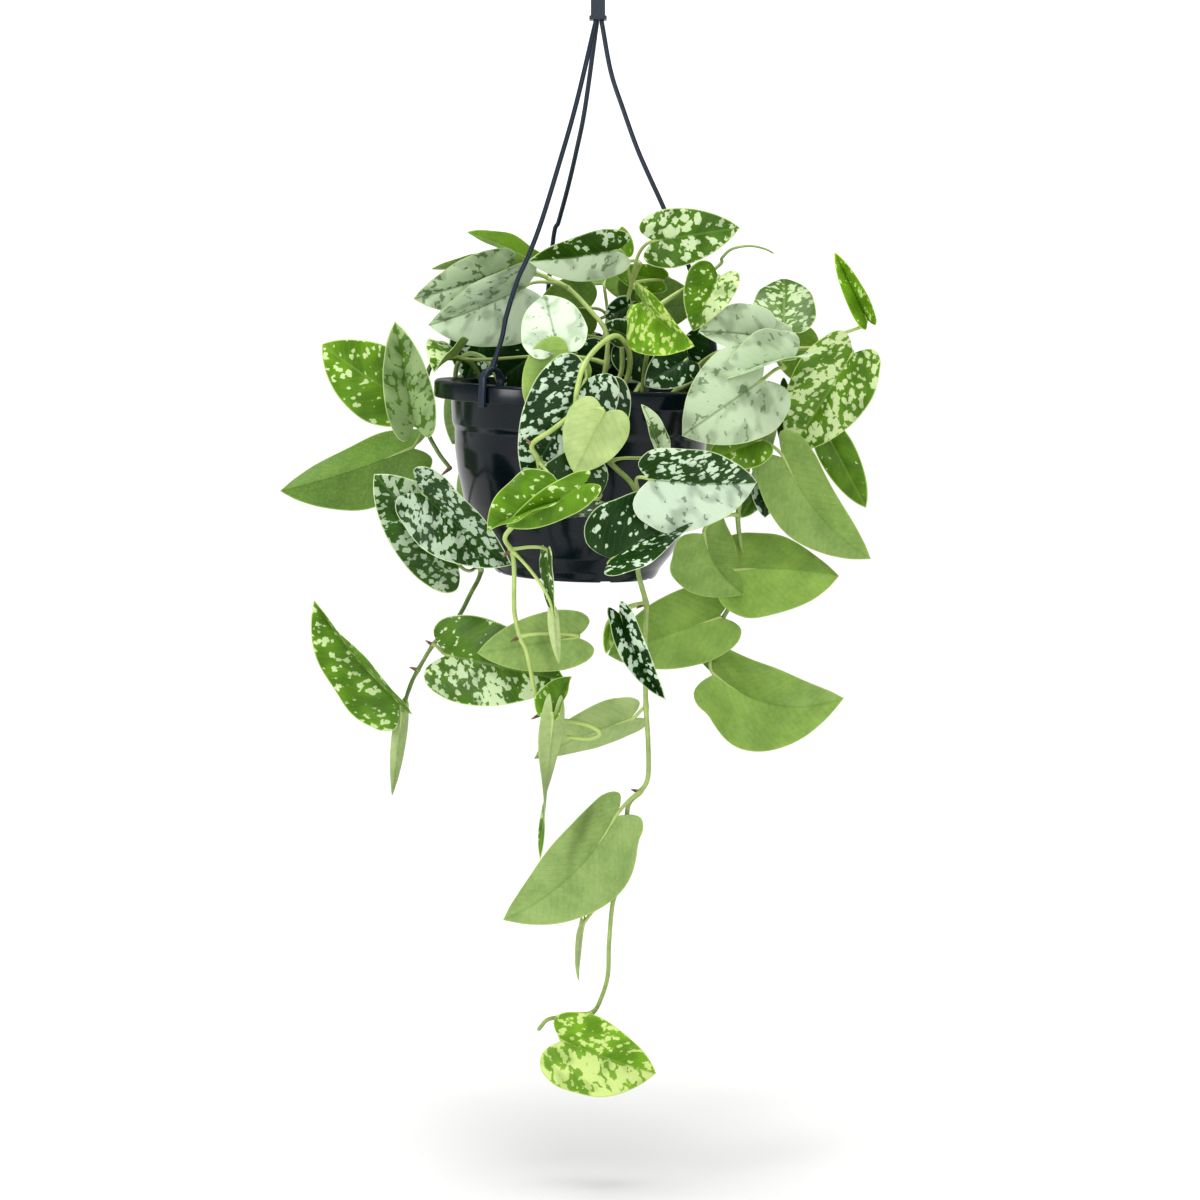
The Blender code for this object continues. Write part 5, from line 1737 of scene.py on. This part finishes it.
@dataclass
class HangingPot:
    """The moulded pot: flat rim with a lip, collar, ledge, bowl, notched foot ring and drain holes.

    The sizes of its profile are in millimetres, with heights counted from the rim's top.
    """

    steps: int = 160
    rounding: float = 1.1
    rim: float = 76.5
    lip: float = 74.9
    opening: float = 67.2
    drop: float = 9.0
    height: float = 98.0
    wall: float = 1.8
    floor_top: float = -94.2
    foot_lift: float = 1.8
    notches: int = 8
    notch_depth: float = 1.0 * MM
    notch_share: float = 0.075
    drains: int = 6
    drain_steps: int = 24
    drain_radius: float = 4.0 * MM
    drain_circle: float = 26.0 * MM
    drain_span: tuple[float, float] = (-99.0 * MM, -91.0 * MM)
    body: tuple[tuple[float, float], ...] = (
        (68.3, -2.0), (66.6, -22.0), (65.2, -24.5), (64.8, -34.0), (62.6, -47.5),
        (59.0, -62.0), (54.6, -74.5), (49.6, -85.5), (44.0, -93.0),
    )

    def outside(self) -> list[tuple[float, float]]:
        """Return the corners of the outer wall from the rim's opening down to the foot's inside."""
        foot = -self.height
        return [
            (self.opening, 0.0), (75.3, 0.0), (self.rim, -1.2), (self.rim, -self.drop),
            (self.lip, -self.drop), (self.lip, -2.0), *self.body,
            (42.4, foot + 1.4), (41.4, foot), (39.6, foot), (39.0, foot + self.foot_lift),
        ]

    def inside(self) -> list[tuple[float, float]]:
        """Return the corners of the inner wall from top to bottom."""
        inner = [(radius - self.wall, height) for radius, height in self.body[1:-1]]
        return [*inner, (41.0, -92.8), (38.5, self.floor_top)]

    def profile(self) -> np.ndarray:
        """Return the closed profile: bottom middle, foot, outer wall, rim, inner wall and floor middle."""
        foot_top = -self.height + self.foot_lift
        corners = [(0.0, foot_top), *reversed(self.outside()), *self.inside(), (0.0, self.floor_top)]
        return rounded(corners, self.rounding)

    def notch_foot(self, points: np.ndarray) -> None:
        """Raise the foot ring's lowest points beside evenly spaced directions.

        A point's direction, in notches, lies beside one where it is within the notch share of it.

        Args:
            points: The pot's points, changed in place.
        """
        radius = np.hypot(points[:, 0], points[:, 1])
        turn = np.arctan2(points[:, 1], points[:, 0]) * self.notches / (2 * math.pi)
        beside = np.abs(turn - 0.5 - np.round(turn - 0.5))
        low = (points[:, 2] < (-self.height + 0.7) * MM) & (radius > 38.8 * MM)
        points[:, 2] += np.where(low & (beside < self.notch_share), self.notch_depth, 0.0)

    def drill(self, target: Object, angle: float) -> Object:
        """Set a drain hole through the floor.

        Args:
            target: The pot.
            angle: The hole's direction.

        Returns:
            The cutter, which is needed until the pot is settled.
        """
        low, high = self.drain_span
        radius = self.drain_radius
        ring = lathe(np.array([(0, low), (radius, low), (radius, high), (0, high)]), self.drain_steps)
        offset = np.array([math.cos(angle), math.sin(angle), 0]) * self.drain_circle
        ring.points = in_pot_frame(ring.points + offset)
        cutter = make_piece("drain_cutter", [ring], [])
        modifier = target.modifiers.new("drain", "BOOLEAN")
        modifier.operation = "DIFFERENCE"
        modifier.object = cutter
        return cutter

    def build(self, plastic: Material) -> Object:
        """Build the pot and dress it.

        Args:
            plastic: Its material.

        Returns:
            The pot.
        """
        sheet = lathe(self.profile(), self.steps)
        self.notch_foot(sheet.points)
        sheet.points = in_pot_frame(sheet.points)
        made = make_piece("moulded_pot", [sheet], [plastic])
        made.data.set_sharp_from_angle(angle=POT_CREASE)
        cutters = [self.drill(made, 2 * math.pi * number / self.drains) for number in range(self.drains)]
        settle(made)
        for cutter in cutters:
            bpy.data.objects.remove(cutter)
        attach(made, BODY)
        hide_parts("pot")
        return made


# A ball of twenty triangles: its corners are those of three golden rectangles square to each other
GOLDEN = (1 + math.sqrt(5)) / 2
BALL_CORNERS = (
    (-1, GOLDEN, 0), (1, GOLDEN, 0), (-1, -GOLDEN, 0), (1, -GOLDEN, 0), (0, -1, GOLDEN), (0, 1, GOLDEN),
    (0, -1, -GOLDEN), (0, 1, -GOLDEN), (GOLDEN, 0, -1), (GOLDEN, 0, 1), (-GOLDEN, 0, -1), (-GOLDEN, 0, 1),
)
BALL_FACES = (
    (0, 11, 5), (0, 5, 1), (0, 1, 7), (0, 7, 10), (0, 10, 11), (1, 5, 9), (5, 11, 4), (11, 10, 2),
    (10, 7, 6), (7, 1, 8), (3, 9, 4), (3, 4, 2), (3, 2, 6), (3, 6, 8), (3, 8, 9), (4, 9, 5), (2, 4, 11),
    (6, 2, 10), (8, 6, 7), (9, 8, 1),
)


@dataclass
class PottingSoil:
    """The peat that fills the pot: a lumpy top, with loose crumbs and a few grains of perlite.

    gap, to the pot's wall, and base, the radius and height of its lower edge, are in millimetres.
    """

    top_radius: float = 65.0 * MM
    gap: float = 0.35
    base: tuple[float, float] = (38.2, -93.8)
    rings: int = 46
    steps: int = 150
    lump: float = 1.1 * MM
    lump_size: float = 9.0 * MM
    fine_share: float = 0.6
    fine_size: float = 3.0 * MM
    fade: float = 4.0 * MM
    scatter_margin: float = 2.2 * MM
    crumbs: int = 620
    crumb_radii: tuple[float, float] = (0.7 * MM, 2.0 * MM)
    grains: int = 46
    grain_radii: tuple[float, float] = (0.6 * MM, 1.5 * MM)

    def surface(self, pot: HangingPot) -> Sheet:
        """Return the soil's body: a lumpy top of even rings, closed by the pot's inner wall.

        The top is lifted by a coarse and a fine noise that die out at the wall.

        Args:
            pot: The pot that it fills.

        Returns:
            The body.
        """
        radii = np.linspace(0, self.top_radius, self.rings)
        top = np.stack([radii, np.full(self.rings, -SOIL_DROP)], axis=-1)
        wall = np.array([(radius - self.gap, height) for radius, height in pot.inside()[:-1]]) * MM
        base = np.array([self.base, (0.0, self.base[1])]) * MM
        sheet = lathe(np.vstack([top, wall, base])[::-1], self.steps)
        points = sheet.points
        radius = np.hypot(points[:, 0], points[:, 1])
        on_top = points[:, 2] > -SOIL_DROP - 0.1 * MM
        fade = np.clip((self.top_radius - radius) / self.fade, 0, 1) * on_top
        coarse = rough(points, self.lump_size, 11) * self.lump
        fine = rough(points, self.fine_size, 12) * self.lump * self.fine_share
        points[:, 2] += (coarse + fine) * fade
        sheet.points = in_pot_frame(points)
        return sheet

    def scattered(self, count: int, radii: tuple[float, float], finish: int, seed: int) -> Sheet:
        """Return loose crumbs on the soil's top.

        Each is a twenty-faced ball with its points moved in or out at random, scaled unevenly and set at a
        random place, evenly spread over the disc.

        Args:
            count: How many there are.
            radii: The smallest and the largest radius.
            finish: Number of the material slot.
            seed: Seed of the random draws.

        Returns:
            The crumbs.
        """
        low, high = radii
        draw = np.random.default_rng(seed)
        corners = unit(np.array(BALL_CORNERS, float))
        size = draw.uniform(low, high, (count, 1, 1)) * draw.uniform(0.6, 1.2, (count, 1, 3))
        shapes = corners[None] * draw.uniform(0.7, 1.15, (count, len(corners), 1)) * size
        radius = np.sqrt(draw.uniform(0, 1, count)) * (self.top_radius - self.scatter_margin)
        angle = draw.uniform(0, 2 * math.pi, count)
        height = np.full(count, -SOIL_DROP)
        centre = np.stack([radius * np.cos(angle), radius * np.sin(angle), height], axis=-1)
        centre[:, 2] += draw.uniform(-0.1, 0.7, count) * high
        points = in_pot_frame((shapes + centre[:, None]).reshape(-1, 3))
        first = np.arange(count)[:, None, None] * len(corners)
        return Sheet(points, NO_QUADS, (np.array(BALL_FACES)[None] + first).reshape(-1, 3), finish)

    def build(self, pot: HangingPot, peat: Material, crumb: Material,
              perlite: Material) -> list[Object]:
        """Build the soil and its crumbs.

        Args:
            pot: The pot that it fills.
            peat: The material of the body.
            crumb: The material of the crumbs.
            perlite: The material of the pale grains.

        Returns:
            The body and the crumbs.
        """
        body = make_piece("potting_soil", [self.surface(pot)], [peat])
        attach(body, BODY)
        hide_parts("soil")
        loose = make_piece("soil_crumbs", [
            self.scattered(self.crumbs, self.crumb_radii, 0, SEED),
            self.scattered(self.grains, self.grain_radii, 1, SEED + 1),
        ], [crumb, perlite])
        loose.data.shade_flat()
        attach(loose, BODY)
        return [body, loose]


STRAND_PATHS: dict[str, tuple[Place, ...]] = {
    "front_left": (
        (-11.9, 248, -13), (-20.6, 217.5, -23), (-29.2, 189.5, -32), (-35.8, 172, -38),
        (-41.2, 160, -42), (-46.6, 142.8, -48), (-49.3, 130, -52),
    ),
    "back": (
        (-7.5, 245.8, 17), (-11.9, 224, 27), (-16.2, 205.6, 36), (-20.6, 189.4, 44),
        (-23.6, 178.5, 49),
    ),
    "right": (
        (5.4, 264.2, -2), (11.4, 245.8, -4), (18.4, 226.2, -6), (25, 211, -7),
        (32.1, 195.4, -8.5), (45, 165, -11),
    ),
}


class Side(Enum):
    """The three strands of the hanger, each with the direction of its clip in degrees."""

    FRONT_LEFT = ("front_left", 231.0)
    BACK = ("back", 109.0)
    RIGHT = ("right", 349.0)

    @property
    def label(self) -> str:
        """Return the strand's name."""
        return self.value[0]

    @property
    def azimuth(self) -> float:
        """Return the clip's direction in radians."""
        return math.radians(self.value[1])


@dataclass
class Hanger:
    """The moulded hanger: hook, head block with three sockets, three strands and their rim clips.

    hook_span is the first and last angle of the hook's ring and its number of points, and taper the first
    and last share of its radius at its open end. outline is the clip's, in millimetres out and up.
    """

    clip_width: float = 4.0 * MM
    clip_rounding: float = 0.45 * MM
    strand_sides: int = 14
    strand_swelling: float = 0.3
    strand_reach: float = 5.0 * MM
    socket_circle: float = 1.9 * MM
    head_width: float = 7.2 * MM
    head_top: float = -36.0 * MM
    head_bottom: float = -56.0 * MM
    head_rounding: float = 0.5 * MM
    collar_height: float = 2.0 * MM
    collar_ledge: float = 0.8 * MM
    hook_rod: float = 2.5 * MM
    hook_inner: float = 10.0 * MM
    hook_sides: int = 20
    hook_span: tuple[float, float, int] = (-52.0, 200.0, 64)
    neck: tuple[float, float] = (-4.0 * MM, 3.0 * MM)
    taper: tuple[float, float, int] = (1.0, 0.8, 6)
    outline: tuple[tuple[float, float], ...] = (
        (63.6, -6.0), (65.4, -6.0), (65.4, 3.0), (67.4, 6.0), (71.4, 7.4), (75.0, 6.0),
        (76.9, 3.0), (76.9, -9.5), (75.4, -9.5), (75.8, -11.0), (78.8, -11.0), (78.8, 4.0),
        (76.0, 7.6), (71.4, 9.2), (66.4, 7.6), (63.6, 4.0),
    )

    def turned_out(self, points: np.ndarray, azimuth: float) -> np.ndarray:
        """Return points (out, aside, up) turned to an azimuth and set in the pot's frame.

        The way across is out cos - aside sin, and the way back is out sin + aside cos.

        Args:
            points: Array of points.
            azimuth: The direction that out is turned to.

        Returns:
            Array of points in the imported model's frame.
        """
        out, aside, up = points[..., 0], points[..., 1], points[..., 2]
        x = out * math.cos(azimuth) - aside * math.sin(azimuth)
        y = out * math.sin(azimuth) + aside * math.cos(azimuth)
        return in_pot_frame(np.stack([x, y, up], axis=-1))

    def clip_sheet(self, side: Side) -> Sheet:
        """Return the clip's flat outline, drawn out to its width.

        The outline is a ring of corners. The two faces across are each a strip of quads between its outer
        and its inner side.

        Args:
            side: The strand that the clip ends.

        Returns:
            The clip.
        """
        ring = np.array(self.outline) * MM
        count = len(ring)
        half = self.clip_width / 2
        near = np.stack([ring[:, 0], np.full(count, -half), ring[:, 1]], axis=-1)
        far = near + np.array([0, 2 * half, 0])
        points = self.turned_out(np.vstack([near, far]), side.azimuth)
        around, ahead = around_ring(count)
        walls = np.stack([around, ahead, ahead + count, around + count], axis=-1)
        caps = np.array([
            (0, 1, 2, 15), (15, 2, 3, 14), (14, 3, 4, 13), (13, 4, 5, 12), (12, 5, 6, 11), (11, 6, 7, 10),
            (10, 7, 8, 9),
        ])
        return Sheet(points, np.vstack([walls[:, ::-1], caps, (caps + count)[:, ::-1]]), NO_TRIANGLES)

    def strand_path(self, side: Side) -> np.ndarray:
        """Return the strand's path from inside the head's socket to the top of its clip.

        Args:
            side: The strand.

        Returns:
            Array of points.
        """
        out = np.array([math.cos(side.azimuth), math.sin(side.azimuth), 0.0]) * self.socket_circle
        top = out + np.array([0, 0, self.head_bottom + 5 * MM])
        mouth = out + np.array([0, 0, self.head_bottom - 1 * MM])
        foot = self.turned_out(np.array([71.4 * MM, 0, 7.6 * MM]), side.azimuth)
        points = np.vstack([mouth, seen(np.array(STRAND_PATHS[side.label])), foot])
        return np.vstack([top, smooth_path(points, 10)])

    def build_strand(self, side: Side, plastic: Material) -> Object:
        """Build one strand with its clip.

        The strand's radius is raised at the clip by a bell.

        Args:
            side: The strand.
            plastic: Its material.

        Returns:
            The strand.
        """
        clip = make_piece("clip_" + side.label, [self.clip_sheet(side)], [plastic])
        soften_edges(clip, self.clip_rounding, 2)
        path = self.strand_path(side)
        swell = np.exp(-(np.linalg.norm(path - path[-1], axis=1) / self.strand_reach) ** 2)
        rod = tube(path, STRAND_RADIUS * (1 + self.strand_swelling * swell), self.strand_sides)
        strand = make_piece("hanger_strand_" + side.label, [rod], [plastic])
        for made in (clip, strand):
            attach(made, BODY)
            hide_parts("strand_" + side.label)
        return strand

    def hook_sheet(self) -> Sheet:
        """Return the hook: a rod that follows most of a ring above a short straight neck.

        A ring point is at the ring's radius times the cosine and sine of its angle, with the ring's middle
        a hook's inner radius below the origin.

        Returns:
            The hook.
        """
        ring = self.hook_inner + self.hook_rod
        angle = np.radians(np.linspace(*self.hook_span))
        arc = np.stack([ring * np.cos(angle), 0 * angle, ring * np.sin(angle) - self.hook_inner], axis=-1)
        neck = np.array([(0, 0, self.head_top + height) for height in self.neck])
        path = np.vstack([neck, arc])
        taper = np.linspace(*self.taper)
        radii = self.hook_rod * np.concatenate([np.ones(len(path) - len(taper)), taper])
        return tube(path, radii, self.hook_sides)

    def block_sheet(self) -> Sheet:
        """Return the head block: a square stack of four levels with a collar at the bottom.

        Returns:
            The block.
        """
        half = self.head_width / 2
        sizes = np.array([half, half, half + self.collar_ledge, half + self.collar_ledge])
        collar_top = self.head_bottom + self.collar_height
        levels = np.array([self.head_top, collar_top, collar_top, self.head_bottom])
        corners = np.array([(-1, -1), (1, -1), (1, 1), (-1, 1)])
        outline = sizes[:, None, None] * corners[None]
        rings = np.concatenate([outline, np.broadcast_to(levels[:, None, None], (4, 4, 1))], axis=-1)
        walls = grid_quads(4, 4, closed=True)[:, ::-1]
        faces = np.vstack([walls, [(0, 1, 2, 3)], [(15, 14, 13, 12)]])
        return Sheet(rings.reshape(-1, 3), faces, NO_TRIANGLES)

    def build_head(self, plastic: Material) -> list[Object]:
        """Build the head block and the hook above it.

        Args:
            plastic: Their material.

        Returns:
            The hook and the block.
        """
        hook = make_piece("hook", [self.hook_sheet()], [plastic])
        head = make_piece("head_block", [self.block_sheet()], [plastic])
        soften_edges(head, self.head_rounding, 3)
        for made in (hook, head):
            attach(made, BODY)
            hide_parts("hanger_head")
        return [hook, head]


@dataclass(frozen=True, kw_only=True)
class PaleFloor(Finish):
    """A plain matt floor with faint clouds."""

    name: str = "pale_floor"
    roughness: float = 1.0
    low: Colour = (0.76, 0.76, 0.76)
    high: Colour = (0.78, 0.78, 0.78)

    def plain(self) -> dict[str, object]:
        """Return what is the same all over, by the shader's socket names."""
        return {"Roughness": self.roughness, "Specular IOR Level": 0.0}

    def patterned(self, w: Wiring, shared: SharedGroups) -> dict[str, object]:
        """Wire the finish's pattern and return what it feeds, by the shader's socket names."""
        return {"Base Color": w.mix(w.noise(w.place(), 1.2), self.low, self.high)}


@dataclass(frozen=True)
class Lamp:
    """One light, its kind, power, place and the point that it looks at.

    size is the angle in degrees of a sun, and the width in metres of an area light, which is taller than
    it is wide.
    """

    name: str
    kind: str
    energy: float
    place: Place
    aim: Place
    size: float
    colour: Colour = (1.0, 1.0, 1.0)
    tallness: float = 1.6

    def build(self) -> None:
        """Add the light, tilted by the angle between straight down and its aim."""
        data = bpy.data.lights.new(self.name, self.kind)
        data.energy = self.energy
        data.color = self.colour
        if self.kind == "SUN":
            data.angle = math.radians(self.size)
        else:
            data.shape = "RECTANGLE"
            data.size = self.size
            data.size_y = self.size * self.tallness
        made = bpy.data.objects.new(self.name, data)
        bpy.context.scene.collection.objects.link(made)
        made.location = self.place
        toward = np.array(self.aim) - np.array(self.place)
        pitch = math.acos(-toward[2] / np.linalg.norm(toward))
        made.rotation_euler = (pitch, 0, math.atan2(toward[1], toward[0]) - math.pi / 2)


@dataclass
class Studio:
    """The pale floor, the white surround, the soft lights and the camera.

    The surround lights the plant by sky and is seen by the camera at the brightness of the backdrop.
    """

    floor_height: float = -0.640
    floor_reach: float = 30.0
    sky: float = 0.29
    backdrop: float = 1.05
    lamps: tuple[Lamp, ...] = (
        Lamp("key", "SUN", 2.7, (-0.04, 0.02, 1.5), (0, 0, 0), 44.0, (1.0, 0.995, 0.98)),
        Lamp("left_strip", "AREA", 6.0, (-1.1, -0.75, 0.05), (0, 0, -0.3), 0.4),
        Lamp("front_fill", "AREA", 17.0, (0.5, -1.9, 0.15), (0, 0, -0.3), 1.4),
    )

    def build_floor(self, shared: SharedGroups) -> None:
        """Build the plain pale floor.

        Args:
            shared: The node groups.
        """
        corners = np.array([(-1, -1), (1, -1), (1, 1), (-1, 1)]) * self.floor_reach
        points = np.column_stack([corners, np.full(4, self.floor_height)])
        sheet = Sheet(points, np.array([(0, 1, 2, 3)]), NO_TRIANGLES)
        floor = make_piece("floor", [sheet], [PaleFloor().build(shared)])

    def build_sky(self) -> None:
        """Make a white surround that the camera sees brighter than it lights."""
        world = bpy.data.worlds.new("studio")
        bpy.context.scene.world = world
        world.use_nodes = True
        w = Wiring(world.node_tree)
        shader = world.node_tree.nodes["Background"]
        shader.inputs["Color"].default_value = (1.0, 1.0, 1.0, 1.0)
        seen_directly = w.node("ShaderNodeLightPath").outputs["Is Camera Ray"]
        brightness = w.plus(self.sky, w.times(seen_directly, self.backdrop - self.sky))
        w.feed(shader.inputs["Strength"], brightness)

    def build_camera(self) -> None:
        """Set the camera where the photograph was taken from."""
        data = bpy.data.cameras.new("camera")
        data.lens = LENS
        data.sensor_width = SENSOR
        data.clip_start = 0.05
        data.clip_end = 100.0
        camera = bpy.data.objects.new("camera", data)
        bpy.context.scene.collection.objects.link(camera)
        camera.location = EYE * MM
        camera.rotation_euler = (math.pi / 2 - EYE_PITCH, 0, 0)
        bpy.context.scene.camera = camera

    def build(self, shared: SharedGroups) -> None:
        """Build the whole studio.

        Args:
            shared: The node groups.
        """
        bpy.context.scene.view_settings.view_transform = "Standard"
        bpy.context.scene.view_settings.look = "Medium High Contrast"
        self.build_floor(shared)
        self.build_sky()
        for lamp in self.lamps:
            lamp.build()
        self.build_camera()


def earthy_finishes(shared: SharedGroups) -> list[Material]:
    """Make the materials of the root nubs, the peat, its crumbs and the perlite, in that order."""
    return [
        finish.build(shared) for finish in (
            Earthy(name="aerial_root", low=linear(92, 72, 50), high=linear(146, 122, 92), scale=500.0,
                   depth=0.3 * MM),
            Earthy(name="peat", low=linear(28, 20, 15), high=linear(58, 43, 32), scale=260.0,
                   depth=0.8 * MM),
            Earthy(name="peat_crumb", low=linear(30, 20, 14), high=linear(84, 62, 44), scale=160.0,
                   depth=0.4 * MM),
            Earthy(name="perlite", low=linear(200, 196, 186), high=linear(236, 234, 228), scale=400.0,
                   depth=0.2 * MM),
        )
    ]


def main() -> None:
    """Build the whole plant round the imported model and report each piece."""
    logging.basicConfig(level=logging.INFO, format="%(message)s")
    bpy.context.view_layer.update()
    shared = SharedGroups()
    root_skin, peat, crumb, perlite = earthy_finishes(shared)
    foliage = [*(finish.build(shared) for finish in (UpperFace(), UnderFace(), StemSkin())), root_skin]
    pot_plastic = MouldedPlastic(
        name="pot_plastic", colour=linear(12, 24, 32), worn=linear(26, 40, 48), roughness=0.15)
    hanger_plastic = MouldedPlastic(
        name="hanger_plastic", colour=linear(40, 49, 60), worn=linear(66, 76, 88), roughness=0.29)
    pot, hanger = HangingPot(), Hanger()
    made = [pot.build(pot_plastic.build(shared)), *PottingSoil().build(pot, peat, crumb, perlite)]
    hanger_material = hanger_plastic.build(shared)
    made += hanger.build_head(hanger_material)
    made += [hanger.build_strand(side, hanger_material) for side in Side]
    for name, vine in VINES.items():
        stem = LeafyStem(name, vine, MARKINGS[name], DARK_STALKED.get(name, STALK_TONE))
        made.append(stem.build(foliage))
    for piece in made:
        piece.data.calc_loop_triangles()
        LOG.info("%s: %d triangles", piece.name, len(piece.data.loop_triangles))
    Studio().build(shared)


if __name__ == "__main__":
    main()
